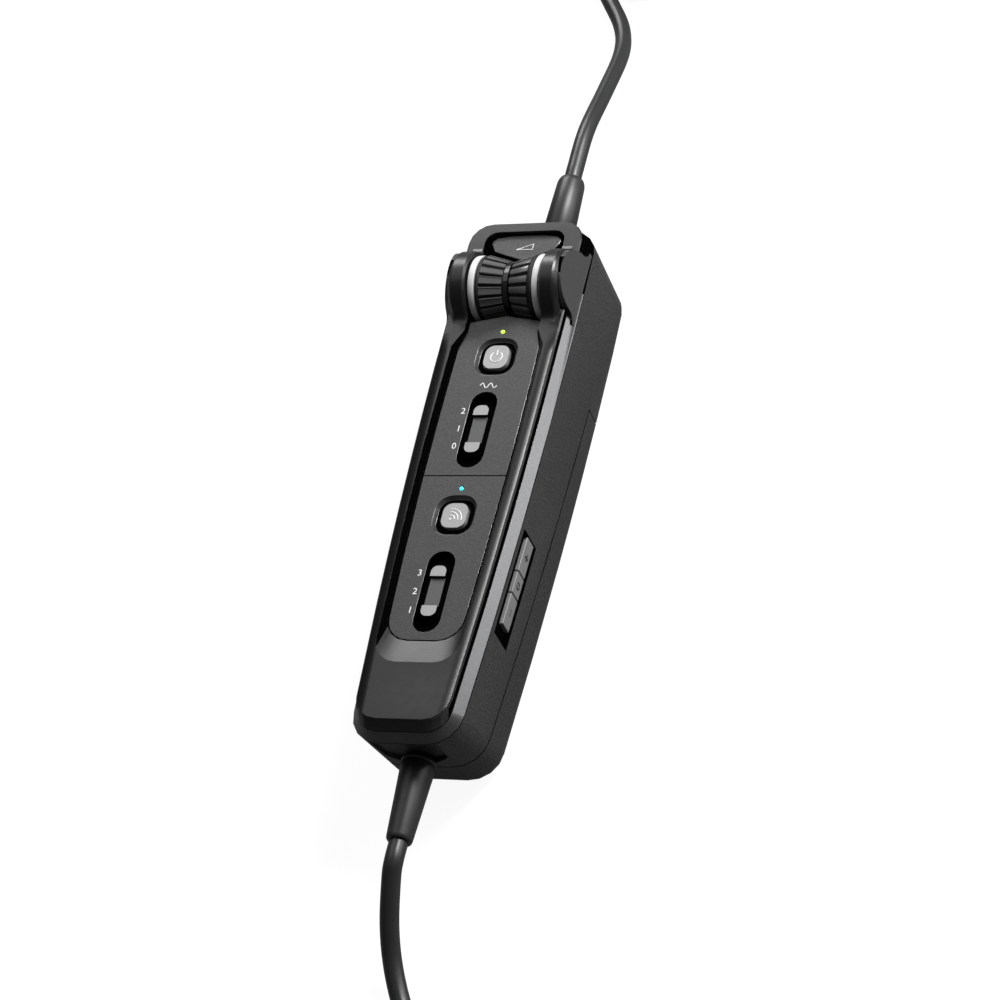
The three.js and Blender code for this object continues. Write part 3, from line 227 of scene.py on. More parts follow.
@shader_group("Edge polish", {"Amount": 0.3}, ("Mask",))
def wear_group(nodes, links, given, put):
    """Pale polish along the outer edges, broken up by noise."""
    shape = nodes.new("ShaderNodeNewGeometry")
    edge = nodes.new("ShaderNodeMapRange")
    edge.inputs["From Min"].default_value = 0.52
    edge.inputs["From Max"].default_value = 0.62
    links.new(shape.outputs["Pointiness"], edge.inputs["Value"])
    breakup = nodes.new("ShaderNodeTexNoise")
    breakup.inputs["Scale"].default_value = 420.0
    links.new(given.outputs["Vector"], breakup.inputs["Vector"])
    broken = math_node(nodes, links, "MULTIPLY", edge.outputs["Result"], breakup.outputs["Fac"])
    links.new(math_node(nodes, links, "MULTIPLY", broken, given.outputs["Amount"]), put.inputs["Mask"])


@shader_group("Rail crown", {"Curvature": 100.0}, ("Height",))
def crown_group(nodes, links, given, put):
    """The rails' tops fall away outwards, more on the left: a height over the object's own X and Y."""
    axes = nodes.new("ShaderNodeSeparateXYZ")
    links.new(given.outputs["Vector"], axes.inputs[0])
    out = math_node(nodes, links, "ABSOLUTE", axes.outputs["X"])
    along = math_node(nodes, links, "SUBTRACT", axes.outputs["Y"], mm(CROWN_MIDDLE_Y))
    square = math_node(nodes, links, "MULTIPLY", along, along)
    edge = math_node(nodes, links, "MULTIPLY_ADD", square, -CROWN_BOW, mm(CROWN_START_X))
    past = math_node(nodes, links, "MAXIMUM", math_node(nodes, links, "SUBTRACT", out, edge), 0.0)
    below_ears = nodes.new("ShaderNodeMapRange")
    below_ears.inputs["From Min"].default_value = mm(CROWN_END_Y)
    below_ears.inputs["From Max"].default_value = mm(CROWN_FULL_Y)
    links.new(axes.outputs["Y"], below_ears.inputs["Value"])
    square = math_node(nodes, links, "MULTIPLY", past, past)
    fall = math_node(nodes, links, "MULTIPLY", square, given.outputs["Curvature"])
    left = math_node(nodes, links, "LESS_THAN", axes.outputs["X"], 0.0)
    steeper = math_node(nodes, links, "MULTIPLY_ADD", left, CROWN_LEFT_EXTRA, 1.0)
    fall = math_node(nodes, links, "MULTIPLY", fall, steeper)
    fall = math_node(nodes, links, "MULTIPLY", fall, below_ears.outputs["Result"])
    links.new(math_node(nodes, links, "MULTIPLY", fall, -1.0), put.inputs["Height"])


def finish(
    name, colour, roughness, metallic=0.0, grain=3000.0, depth=0.05, tone=0.25, polish=0.0, coat=0.0
):
    """One finish: a colour with grain, handling marks and edge polish on a Principled shader."""
    if name in bpy.data.materials:
        return bpy.data.materials[name]
    made = bpy.data.materials.new(name)
    nodes, links = open_nodes(made)
    shader = nodes["Principled BSDF"]
    place = nodes.new("ShaderNodeTexCoord")
    grained = nodes.new("ShaderNodeGroup")
    grained.node_tree = grain_group()
    grained.inputs["Scale"].default_value = grain
    handled = nodes.new("ShaderNodeGroup")
    handled.node_tree = handling_group()
    handled.inputs["Roughness"].default_value = roughness
    worn = nodes.new("ShaderNodeGroup")
    worn.node_tree = wear_group()
    worn.inputs["Amount"].default_value = polish
    for group in (grained, handled, worn):
        links.new(place.outputs["Object"], group.inputs["Vector"])
    base = nodes.new("ShaderNodeRGB")
    base.outputs[0].default_value = (*colour, 1.0)
    dark = nodes.new("ShaderNodeMix")
    dark.data_type = "RGBA"
    dark.blend_type = "MULTIPLY"
    level = math_node(nodes, links, "MULTIPLY_ADD", grained.outputs["Tone"], tone, 1.0 - tone / 2)
    grey = nodes.new("ShaderNodeCombineColor")
    for slot in range(3):
        links.new(level, grey.inputs[slot])
    dark.inputs["Factor"].default_value = 1.0
    links.new(base.outputs[0], dark.inputs["A"])
    links.new(grey.outputs[0], dark.inputs["B"])
    light = nodes.new("ShaderNodeMix")
    light.data_type = "RGBA"
    links.new(worn.outputs["Mask"], light.inputs["Factor"])
    links.new(dark.outputs["Result"], light.inputs["A"])
    polished_colour = [min(1.0, value * POLISH_GAIN + POLISH_LIFT) for value in colour]
    light.inputs["B"].default_value = (*polished_colour, 1.0)
    links.new(light.outputs["Result"], shader.inputs["Base Color"])
    links.new(handled.outputs["Roughness"], shader.inputs["Roughness"])
    shader.inputs["Metallic"].default_value = metallic
    shader.inputs["Coat Weight"].default_value = coat
    shader.inputs["Coat Roughness"].default_value = COAT_ROUGHNESS
    bump = nodes.new("ShaderNodeBump")
    bump.inputs["Strength"].default_value = min(1.0, depth * BUMP_STRENGTH_PER_MM)
    bump.inputs["Distance"].default_value = mm(depth)
    links.new(grained.outputs["Height"], bump.inputs["Height"])
    links.new(bump.outputs["Normal"], shader.inputs["Normal"])
    return made


def lamp_finish(name, colour, strength):
    made = finish(name, colour, 0.15, depth=0.01, tone=0.05, coat=0.6)
    shader = made.node_tree.nodes["Principled BSDF"]
    shader.inputs["Emission Color"].default_value = (*colour, 1.0)
    shader.inputs["Emission Strength"].default_value = strength
    return made


def shaped(made, form):
    """Put a large form, given as a group's height, under the grain of a finish."""
    nodes, links = made.node_tree.nodes, made.node_tree.links
    grain_bump = nodes["Bump"]
    if grain_bump.inputs["Normal"].links:
        return made
    under = nodes.new("ShaderNodeGroup")
    under.node_tree = form
    links.new(nodes["Texture Coordinate"].outputs["Object"], under.inputs["Vector"])
    bump = nodes.new("ShaderNodeBump")
    bump.inputs["Strength"].default_value = 1.0
    bump.inputs["Distance"].default_value = 1.0
    links.new(under.outputs["Height"], bump.inputs["Height"])
    links.new(bump.outputs["Normal"], grain_bump.inputs["Normal"])
    return made


def cover_finish():
    """The cover's finish, with the rails' crown under its grain."""
    black = colours().cover
    made = finish("satin black moulding", black, 0.32, grain=2600, depth=0.06, tone=0.5, polish=0.25)
    return shaped(made, crown_group())


def housing_finish():
    black = colours().housing
    return finish("grained black moulding", black, 0.50, grain=1900, depth=0.24, tone=1.0, polish=0.25)


def band_finish():
    grey = colours().band
    return finish("grey metallic paint", grey, 0.30, metallic=0.8, grain=4200, depth=0.02, tone=0.5)


def plate_finish():
    grey = colours().plate
    return finish("grey satin plate", grey, 0.44, metallic=0.15, grain=2800, depth=0.10, tone=0.9)


def painted_highlight_edge_finish(name, colour, gain, metallic):
    """The rounded edges of a moulding, worn a little smoother than its faces, and lighter in colour as a
    painted highlight.
    """
    painted_light_colour = [min(1.0, gain * part) for part in colour]
    return finish(name, painted_light_colour, 0.24, metallic=metallic, depth=0.01, tone=0.1)


def dark_plastic():
    black = (0.008, 0.008, 0.009)
    return finish("black gloss moulding", black, 0.22, grain=3000, depth=0.01, tone=0.2, coat=0.3)


# Painted shade: near black with almost no reflection, for faces in recesses, slots, seams and under things,
# where shade falls.
def shadow_finish():
    made = finish("black painted shade", (0.0006, 0.0006, 0.0006), 0.8, grain=2600, depth=0.02, tone=0.2)
    made.node_tree.nodes["Principled BSDF"].inputs["Specular IOR Level"].default_value = 0.01
    return made


def print_finish():
    return finish("white print", colours().print, 0.55, depth=0.01, tone=0.1)


def cord_finish():
    return finish("satin cable jacket", colours().cord, 0.36, grain=3000, depth=0.012, tone=0.2)


def rubber_finish():
    return finish("moulded strain relief", colours().cord, 0.40, grain=1800, depth=0.03, tone=0.25)


def steel_finish():
    return finish("plated steel", (0.55, 0.56, 0.57), 0.28, metallic=1.0, grain=1800, depth=0.01, tone=0.15)


# --------------------------------------
# Mesh helpers
# --------------------------------------

# Angles in degrees and the distance in millimetres. A font's capitals are this share of its size.
SHARP_ANGLE = 38
FLAT_ANGLE = 0.6
MERGE_DISTANCE = 0.004
EDGE_SEGMENTS = 3
CORD_RESOLUTION = 6
FONT_CAPITAL = 0.7


def add_object(name, data, body, replaced=()):
    made = linked(name, data)
    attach(made, body)
    if replaced:
        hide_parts(*replaced)
    return made


def add_mesh(name, bm, body, materials, replaced=(), smooth_angle=SHARP_ANGLE):
    """A bmesh drawn in millimetres becomes a piece in metres, with its sharp edges kept sharp."""
    bmesh.ops.scale(bm, vec=(0.001, 0.001, 0.001), verts=bm.verts)
    data = bpy.data.meshes.new(name)
    bm.to_mesh(data)
    bm.free()
    data.shade_smooth()
    data.set_sharp_from_angle(angle=math.radians(smooth_angle))
    made = add_object(name, data, body, replaced)
    for material in materials:
        data.materials.append(material)
    return made


def round_edges(made, width, angle, material):
    """Round the edges that are sharper than the angle, in the material of that number."""
    bevel = made.modifiers.new("rounded edges", "BEVEL")
    bevel.width = width
    bevel.segments = EDGE_SEGMENTS
    bevel.limit_method = "ANGLE"
    bevel.angle_limit = math.radians(angle)
    bevel.use_clamp_overlap = True
    bevel.material = material
    weighted = made.modifiers.new("even shading", "WEIGHTED_NORMAL")
    weighted.keep_sharp = True


def dressed(node, name, body, materials, width, look=None, crease=SHARP_ANGLE, edge=0):
    """A piece on its CAD node's shape: flat faces joined, edges rounded in the material numbered edge."""
    bm = bmesh.new()
    bm.from_mesh(NODES[node].data)
    bmesh.ops.remove_doubles(bm, verts=bm.verts, dist=mm(MERGE_DISTANCE))
    bmesh.ops.dissolve_limit(bm, angle_limit=math.radians(FLAT_ANGLE), verts=bm.verts, edges=bm.edges)
    bmesh.ops.scale(bm, vec=(1000, 1000, 1000), verts=bm.verts)
    if look:
        for face in bm.faces:
            face.material_index = look(face.calc_center_median(), face.normal)
    made = add_mesh(name, bm, body, materials, (node,), smooth_angle=crease)
    round_edges(made, width, crease, edge)


def bevel(bm, edges, offset, segments):
    return bmesh.ops.bevel(
        bm, geom=list(edges), offset=offset, segments=segments, affect="EDGES", profile=0.5, material=-1
    )


def rounded_block(bm, centre, size, corner, edge, segments=4, material=0, end=0):
    """A cube with its upright edges, or those of one end, then its top edges, rounded."""
    made = bmesh.ops.create_cube(bm, size=1.0)["verts"]
    bmesh.ops.scale(bm, vec=size, verts=made)
    bmesh.ops.translate(bm, vec=centre, verts=made)
    faces = {f for v in made for f in v.link_faces}
    for face in faces:
        face.material_index = material
    upright = {
        e for v in made for e in v.link_edges
        if abs((e.verts[0].co - e.verts[1].co).z) > size[2] * 0.5
        and (e.verts[0].co.y - centre[1]) * end >= 0
    }
    turned = bevel(bm, upright, corner, segments * 2)
    faces = {f for f in faces | set(turned["faces"]) if f.is_valid}
    bm.normal_update()
    top = [f for f in faces if f.normal.z > 0.9]
    bevel(bm, {e for f in top for e in f.edges}, edge, segments)


def spun(bm, profile, centre, axis, steps=48):
    """A closed solid of revolution: profile as (radius, height) from axis to axis, spun about the line."""
    axis = Vector(axis).normalized()
    side = axis.orthogonal().normalized()
    centre = Vector(centre)
    verts = [bm.verts.new(centre + side * radius + axis * height) for radius, height in profile]
    edges = [bm.edges.new(pair) for pair in zip(verts, verts[1:])]
    line = verts + edges
    bmesh.ops.spin(bm, geom=line, cent=centre, axis=axis, angle=2 * math.pi, steps=steps, use_merge=True)
    bmesh.ops.remove_doubles(bm, verts=bm.verts, dist=0.0005)
    bmesh.ops.recalc_face_normals(bm, faces=bm.faces)


def tube_curve(name, points, diameter, body, material, replaced):
    """An open curve with a round section, drawn through points in metres."""
    data = bpy.data.curves.new(name, "CURVE")
    data.dimensions = "3D"
    data.bevel_depth = diameter / 2
    data.bevel_resolution = CORD_RESOLUTION
    data.use_fill_caps = True
    data.resolution_u = 3
    line = data.splines.new("NURBS")
    line.points.add(len(points) - 1)
    for point, place in zip(line.points, points):
        point.co = (*place, 1.0)
    line.order_u = 3
    line.use_endpoint_u = True
    data.materials.append(material)
    return add_object(name, data, body, replaced)


def add_marks(name, data, body, material, place=(0, 0, 0)):
    """A curve or text becomes a mesh piece, moved by a place in millimetres."""
    holder = bpy.data.objects.new(name, data)
    mesh = bpy.data.meshes.new_from_object(holder)
    bpy.data.objects.remove(holder)
    mesh.name = name
    mesh.transform(Matrix.Translation(mm(*place)))
    mesh.materials.clear()
    mesh.materials.append(material)
    add_object(name, mesh, body)
    return mesh


def marks(name, strokes, width, body, material):
    """Thin raised lines through points in millimetres, made one mesh."""
    data = bpy.data.curves.new(name, "CURVE")
    data.dimensions = "3D"
    data.bevel_depth = mm(width / 2)
    data.bevel_resolution = 2
    data.use_fill_caps = True
    for points in strokes:
        line = data.splines.new("POLY")
        line.points.add(len(points) - 1)
        for point, place in zip(line.points, points):
            point.co = (*mm(*place), 1.0)
    add_marks(name, data, body, material).shade_smooth()


def printed(name, text, right, middle, z):
    """A printed number, its right end and middle at the given place on a face that looks up."""
    data = bpy.data.curves.new(name, "FONT")
    data.body = text
    data.size = sizes().label_height / FONT_CAPITAL
    data.align_x = "RIGHT"
    data.align_y = "CENTER"
    data.extrude = sizes().label_relief / 2
    data.resolution_u = 3
    add_marks(name, data, "body", print_finish(), (right, middle, z))


def ring_points(centre, radius, start, end, count):
    x, y, z = centre
    angles = [math.radians(start + (end - start) * k / count) for k in range(count + 1)]
    return [(x + radius * math.cos(a), y + radius * math.sin(a), z) for a in angles]


# --------------------------------------
# Camera
# --------------------------------------

# Fitted to the photograph: place and lens in millimetres, and the camera's own axes.
CAMERA_PLACE = (279.9, -372.2, 576.7)
CAMERA_RIGHT = (0.92482562, 0.21316529, -0.31540229)
CAMERA_UP = (-0.00131201, 0.83166396, 0.55519024)
CAMERA_BACK = (0.38056978, -0.51311237, 0.7694352)
CAMERA_LENS = 105.9
CAMERA_SENSOR = 36.0


class MODULE_OT_camera(bpy.types.Operator):
    """Place the camera where the photograph was taken from"""

    bl_idname = "module.camera"
    bl_label = "Camera"

    def execute(self, context):
        data = bpy.data.cameras.new("camera")
        data.lens = CAMERA_LENS
        data.sensor_width = CAMERA_SENSOR
        data.sensor_fit = "HORIZONTAL"
        data.clip_start = 0.05
        data.clip_end = 20.0
        holder = linked("camera", data)
        turn = Matrix((CAMERA_RIGHT, CAMERA_UP, CAMERA_BACK)).transposed().to_4x4()
        holder.matrix_world = Matrix.Translation(mm(*CAMERA_PLACE)) @ turn
        context.scene.camera = holder
        context.scene.view_settings.view_transform = "Standard"
        return {"FINISHED"}


# --------------------------------------
# Cords
# --------------------------------------

LOWER_EXIT_Z = 17.6
UPPER_EXIT_Z = 16.0
CORD_REST_Z = 2.35
HANK_LAYER = 5.15
HANK_PITCH = 5.6
HANK_RUN_X = 14.7
HANK_RADIUS = 15.9
HANK_TURNS = 1.625
HANK_STEPS = 48
HANK_EASE = 0.125
HANK_LEAD = 5.0
WAIST_DRAW = 0.08
WAIST_RISE = 1.1
WAIST_REACH = 14.0
LOWER_HANK_Y = -157.0
LOWER_RUN = 66.0
UPPER_HANK_Y = 201.0
UPPER_RUN = 41.0
HANK_TOP_Z = CORD_REST_Z + HANK_LAYER
LOWER_FAR_Y = LOWER_HANK_Y - LOWER_RUN
UPPER_FAR_Y = UPPER_HANK_Y + UPPER_RUN
LOWER_ROUTE = (
    (0, -94.5, LOWER_EXIT_Z),
    (0, -99.3, LOWER_EXIT_Z),
    (-0.3, -103, 16.0),
    (-0.5, -112, 10.6),
    (0.6, -120, 5.8),
    (4.2, -129, CORD_REST_Z + 0.5),
    (10.2, -138, CORD_REST_Z),
    (13.9, -144, CORD_REST_Z),
    (HANK_RUN_X, LOWER_HANK_Y + HANK_LEAD, CORD_REST_Z),
)
LOWER_END = (
    (13.6, LOWER_FAR_Y - 6, HANK_TOP_Z - 0.1),
    (10.8, LOWER_FAR_Y - 11, HANK_TOP_Z - 0.4),
    (10, LOWER_FAR_Y - 16.7, HANK_TOP_Z - 0.5),
)
UPPER_ROUTE = (
    (0, 103.7, UPPER_EXIT_Z),
    (0, 108.5, UPPER_EXIT_Z),
    (0, 122, 15.2),
    (0, 140, 10.2),
    (-0.4, 158, 5.2),
    (-3.4, 170, CORD_REST_Z + 0.6),
    (-9.4, 181, CORD_REST_Z),
    (-13.8, 189, CORD_REST_Z),
    (-HANK_RUN_X, UPPER_HANK_Y - HANK_LEAD, CORD_REST_Z),
)
UPPER_END = (
    (-14.0, UPPER_FAR_Y + 6, HANK_TOP_Z - 0.3),
    (-11.8, UPPER_FAR_Y + 11, HANK_TOP_Z - 1.2),
    (-11, UPPER_FAR_Y + 16.7, HANK_TOP_Z - 1.7),
)


def hank_place(turn, radius, run):
    """One loop: a run ahead, a fold, a run back and a fold."""
    quarter = int(turn * 4) % 4
    part = turn * 4 - int(turn * 4)
    c, s = radius * math.cos(math.pi * part), radius * math.sin(math.pi * part)
    return ((radius, run * part), (c, run + s), (-radius, run * (1 - part)), (-c, -s))[quarter]


def hank_points(start_y, run, side, heading):
    """Two layers: inward on the floor, up where the spiral turns, outward on top, drawn in at the tie."""
    total, ease = 2 * HANK_TURNS, HANK_EASE
    inner = HANK_RADIUS - HANK_PITCH * (HANK_TURNS - ease / 2)
    points = []
    for step in range(int(total * HANK_STEPS) + 1):
        turn = step / HANK_STEPS
        away = abs(turn - HANK_TURNS)
        spiral = away - ease / 2 if away > ease else away**2 / (2 * ease)
        share = min(max((turn - HANK_TURNS + ease) / (2 * ease), 0.0), 1.0)
        climb = share * share * (3 - 2 * share)
        x, ahead = hank_place(turn, inner + HANK_PITCH * spiral, run)
        waist = (1 + math.cos(math.pi * min(1.0, abs(ahead - run / 2) / WAIST_REACH))) / 2
        drawn = (HANK_RUN_X - HANK_RADIUS + x) * (1 - WAIST_DRAW * waist)
        z = CORD_REST_Z + HANK_LAYER * climb + WAIST_RISE * waist
        points.append((side * drawn, start_y + heading * ahead, z))
    return points


def through(points, count=5):
    """Points along a smooth line through the given ones."""
    given = [Vector(p) for p in points]
    padded = [2 * given[0] - given[1], *given, 2 * given[-1] - given[-2]]
    made = [given[0]]
    for before, a, b, after in zip(padded, padded[1:], padded[2:], padded[3:]):
        for k in range(1, count + 1):
            t = k / count
            made.append(
                0.5 * (2 * a + (b - before) * t + (2 * before - 5 * a + 4 * b - after) * t * t
                       + (3 * a - 3 * b + after - before) * t**3)
            )
    return [tuple(p) for p in made]


def cord_piece(name, points, replaced):
    placed = [mm(*p) for p in points]
    diameter = sizes().cord_diameter
    made = tube_curve(name, placed, diameter, "body", cord_finish(), replaced)


class MODULE_OT_cords(bpy.types.Operator):
    """Lay the two cords, each folded into a hank that its tie holds"""

    bl_idname = "module.cords"
    bl_label = "Cords"

    def execute(self, context):
        for name, route, start, run, side, heading, end, far_end, ends in (
            ("lower", LOWER_ROUTE, LOWER_HANK_Y, LOWER_RUN, 1, -1, LOWER_END, "plug",
             ("aircraft_plug_handle", "aircraft_plug_contacts")),
            ("upper", UPPER_ROUTE, UPPER_HANK_Y, UPPER_RUN, -1, 1, UPPER_END, "connector",
             ("earcup_plug_handle", "earcup_plug_collar")),
        ):
            hank = hank_points(start, run, side, heading)
            points = through(route) + hank + through((hank[-1], *end))[1:]
            ends = (*ends, f"{name}_strain_relief", f"{name}_tie_strap")
            cord_piece(f"{name}_cord_jacket", points, (f"{name}_cord", f"{name}_hank"))
        return {"FINISHED"}


# --------------------------------------
# Mouldings
# --------------------------------------

CREST_Z = 33.9
PLATE_TOP_Z = 32.7
LEFT_SLOPE_X = -9
LEFT_SLOPE_ENDS = (-52, 45)
DECK_HALF_WIDTH = 12.8
DECK_ENDS = (-60, 73.2)
DECK_TOP_Z = 31.7
SHOULDER_START_Y = 62
SHOULDER_BASE_Z = 27
BODY_HALF_WIDTH = 17.75
WIDEST_Y = 50
WAIST_RATE = 2.65e-4
KEY_RECESS = ((-43.5, 18.5), (-14.2, 27.6))
KEY_RECESS_X = 12
COVER_CREASE = 20


def cover_look(centre, normal):
    """Painted shade in black on the upright walls, the left inner slope and the underside, where shade
    falls; else the cover's own finish.
    """
    below = centre.z < CREST_Z
    wall = centre.z < CREST_Z + 0.05 and abs(normal.x) > 0.6 and abs(normal.z) < 0.3
    along = LEFT_SLOPE_ENDS[0] < centre.y < LEFT_SLOPE_ENDS[1]
    left_slope = centre.x < LEFT_SLOPE_X and normal.x > 0.4 and below and along
    return int(wall or left_slope or normal.z < -0.9)


def plate_look(centre, normal):
    """Painted shade in black below the top face, where shade falls, but not on the dishes' sloping walls.
    """
    return int(centre.z < PLATE_TOP_Z - 0.02 and not 0.3 < normal.z < 0.95)


def shell_look(centre, normal):
    """Painted shade in black on the deck under the plates, the shoulder by the wheels and the faces in the
    two seams.
    """
    inside = abs(centre.x) < DECK_HALF_WIDTH and DECK_ENDS[0] < centre.y < DECK_ENDS[1]
    deck = inside and centre.z < DECK_TOP_Z
    outward = normal.z > 0.2 or normal.y > 0.5
    shoulder = centre.y > SHOULDER_START_Y and outward and centre.z > SHOULDER_BASE_Z
    return int(deck or shoulder or abs(normal.z) > 0.97)


def side_at(y):
    """Half the width over the housing's sides."""
    return BODY_HALF_WIDTH - WAIST_RATE * (y - WIDEST_Y) ** 2


def housing_look(centre, normal):
    """Painted shade in black in the keys' recess and on the faces in the seams."""
    (y0, z0), (y1, z1) = KEY_RECESS
    sunk = KEY_RECESS_X < centre.x < side_at(centre.y) - 0.3
    recess = sunk and y0 < centre.y < y1 and z0 < centre.z < z1
    return int(recess or (abs(normal.z) > 0.97 and centre.z > 5))


class MODULE_OT_mouldings(bpy.types.Operator):
    """Make the housing, door, band, cover and plates"""

    bl_idname = "module.mouldings"
    bl_label = "Mouldings"

    def execute(self, context):
        edge, thin, seam = sizes().edge_round, sizes().plate_edge_round, sizes().seam_edge_round
        # black is painted shade: the faces that each look marks 1, and the rounded edges of the housing and
        # door, are painted near black where shade falls.
        black = shadow_finish()
        housing = [housing_finish(), black]
        dressed("rear_housing", "rear_housing_moulding", "body", housing, seam, housing_look, edge=1)
        dressed("battery_door", "battery_door_moulding", "door", housing, seam, housing_look, edge=1)
        # The band, cover and plates get their rounded edges in a lighter, smoother copy of their finish:
        # the lighter colour is a painted highlight.
        band = [band_finish(), black, painted_highlight_edge_finish("band edge with painted highlight", colours().band, 2.4, 0.8)]
        dressed("front_shell", "front_band", "body", band, seam, shell_look, edge=2)
        cover = [cover_finish(), black, painted_highlight_edge_finish("cover edge with painted highlight", colours().cover, 4.0, 0.1)]
        dressed("front_cover", "front_cover_moulding", "body", cover, edge, cover_look, COVER_CREASE, 2)
        panel = [plate_finish(), black, painted_highlight_edge_finish("plate edge with painted highlight", colours().plate, 5.0, 0.6)]
        for plate in ("upper_plate", "lower_plate", "volume_plate"):
            dressed(plate, f"{plate}_panel", "body", panel, thin, plate_look, edge=2)
        return {"FINISHED"}


# --------------------------------------
# Wheels
# --------------------------------------

WHEEL_CENTRE = (0.0, 54.9, 32.24)
WHEEL_STEPS = 96
# Radius and distance from the middle between the wheels, in millimetres. The bars get thicker outwards.
DRUM_PROFILE = (
    (1.9, 0.95), (6.35, 0.95), (6.6, 1.15), (7.0, 3.4), (7.95, 6.35), (8.1, 6.5), (8.55, 6.62),
    (8.65, 6.75), (8.65, 7.4), (8.5, 7.55), (6.1, 7.55), (6.1, 3.8), (1.9, 3.8), (1.9, 0.95),
)
RING_PROFILE = (
    (6.05, 7.8), (8.45, 7.8), (8.62, 7.86), (8.7, 8.0), (8.7, 9.2), (8.6, 9.42), (8.35, 9.55),
    (6.05, 9.55), (6.05, 7.8),
)
BAR_START_X = 1.05
BAR_LENGTH = 5.3
BAR_RADIUS = 7.0
BAR_RISE = 1.5
BAR_DEPTH = 1.1
BAR_WIDTH = 1.5
BAR_WIDER = 0.35
BAR_EDGE = 0.16


def wheel_tread(side):
    """A waisted drum with bars standing from it, and a smooth flange by the ring."""
    bm = bmesh.new()
    spun(bm, DRUM_PROFILE, WHEEL_CENTRE, (side, 0, 0), steps=WHEEL_STEPS)
    count = sizes().wheel_ribs
    for number in range(count):
        bar = bmesh.new()
        bmesh.ops.create_cube(bar, size=1.0)
        for v in bar.verts:
            along = v.co.x + 0.5
            outer = BAR_RADIUS + BAR_RISE * along
            v.co.y *= BAR_WIDTH + BAR_WIDER * along
            v.co.z = outer if v.co.z > 0 else outer - BAR_DEPTH
            v.co.x = side * (BAR_START_X + along * BAR_LENGTH)
        bevel(bar, bar.edges, BAR_EDGE, 2)
        if side < 0:
            bmesh.ops.recalc_face_normals(bar, faces=bar.faces)
        turn = Matrix.Rotation(2 * math.pi * number / count, 4, "X")
        bmesh.ops.transform(bar, matrix=Matrix.Translation(WHEEL_CENTRE) @ turn, verts=bar.verts)
        # Material 1 is the tread's lighter copy: painted light on the bars.
        for face in bar.faces:
            face.material_index = 1
        data = bpy.data.meshes.new("bar")
        bar.to_mesh(data)
        bar.free()
        bm.from_mesh(data)
        bpy.data.meshes.remove(data)
    return bm


class MODULE_OT_wheels(bpy.types.Operator):
    """Make the treads and rings of the two volume wheels"""

    bl_idname = "module.wheels"
    bl_label = "Volume wheels"

    def execute(self, context):
        tread = colours().tread
        # Painted light and shade: a much darker copy of the tread's colour shades the drum between the
        # bars, a much lighter copy lights the bars.
        painted_shade_colour, painted_light_colour = ([gain * value for value in tread] for gain in (0.25, 13))
        painted_shade_drum_look = finish("wheel drum darkened as painted shade", painted_shade_colour, 0.6, grain=2600, depth=0.015, tone=0.2)
        painted_light_bar_look = finish("wheel bars lightened as painted light", painted_light_colour, 0.20, grain=2600, depth=0.01, tone=0.2)
        tread_looks = [painted_shade_drum_look, painted_light_bar_look]
        ring_look = finish("pale wheel ring", colours().ring, 0.32, grain=2600, depth=0.01, tone=0.1)
        for name, side in (("right", 1), ("left", -1)):
            body = f"{name}_wheel"
            add_mesh(f"{name}_tread", wheel_tread(side), body, tread_looks, (f"{name}_wheel_tread",))
            bm = bmesh.new()
            spun(bm, RING_PROFILE, WHEEL_CENTRE, (side, 0, 0), steps=WHEEL_STEPS)
            add_mesh(f"{name}_ring", bm, body, [ring_look], (f"{name}_wheel_ring",))
        return {"FINISHED"}


# --------------------------------------
# Buttons, sliders, lights and keys
# --------------------------------------

POWER_Y = 33.45
WIRELESS_Y = -13.9
BUTTON_TOP_Z = 32.55
BUTTON_SIZE = (6.45, 7.0)
BUTTON_CORNER = 2.3
BUTTON_LIFT = 0.3
SKIRT_SIZE = (8.45, 9.0, 1.0)
SKIRT_CORNER = 3.2

UPPER_SLOT_Y = 11.3
LOWER_SLOT_Y = -35.6
STEM_SIZE = (2.4, 4.0)
STEM_HEIGHT = 3.8
FOOT_SIZE = (6.3, 16.0)
FOOT_CORNER = 3.1
FOOT_TOP_Z = PLATE_TOP_Z - 0.75
MIDDLE_SIZE = (3.75, 8.1, 0.46)
TAB_SIZE = (3.95, 2.9)
TAB_CORNER = 1.6
TAB_PLACE = 7.0 - 1.45

POWER_LIGHT_Y = 41.2
WIRELESS_LIGHT_Y = -6.15
LIGHT_STRENGTH = 1.2

KEY_MARK_Z = 22.0
KEY_MARK_REACH = 0.9


def button_cap(name, node, body, y):
    """A silver cap on a wider skirt that the shell holds in."""
    bm = bmesh.new()
    low_z, high_z = heights(node)
    cap_size = (*BUTTON_SIZE, high_z - low_z - BUTTON_LIFT)
    rounded_block(bm, (0, y, (low_z + BUTTON_LIFT + high_z) / 2), cap_size, BUTTON_CORNER, 0.45)
    rounded_block(bm, (0, y, low_z + 0.5), SKIRT_SIZE, SKIRT_CORNER, 0.1, segments=2)
    look = finish("silver button", colours().button, 0.36, metallic=0.2, grain=3600, depth=0.01, tone=0.12)
    add_mesh(name, bm, body, [look], (node,))


class MODULE_OT_buttons(bpy.types.Operator):
    """Make the two push buttons with their marks"""

    bl_idname = "module.buttons"
    bl_label = "Push buttons"

    def execute(self, context):
        button_cap("power_button_cap", "power_button", "power_press", POWER_Y)
        button_cap("wireless_button_cap", "wireless_button", "wireless_press", WIRELESS_Y)
        z = BUTTON_TOP_Z - 0.02
        sign = [
            ring_points((0, POWER_Y, z), 1.55, 125, 415, 30),
            [(0, POWER_Y + 0.5, z), (0, POWER_Y + 2.1, z)],
        ]
        marks("power_sign", sign, 0.32, "power_press", print_finish())
        centre = (-0.9, WIRELESS_Y - 1.1, z)
        waves = [ring_points(centre, radius, -5, 95, 12) for radius in (1.1, 2.0, 2.9)]
        waves.append(ring_points(centre, 0.16, 0, 360, 8))
        marks("wireless_sign", waves, 0.3, "wireless_press", print_finish())
        return {"FINISHED"}


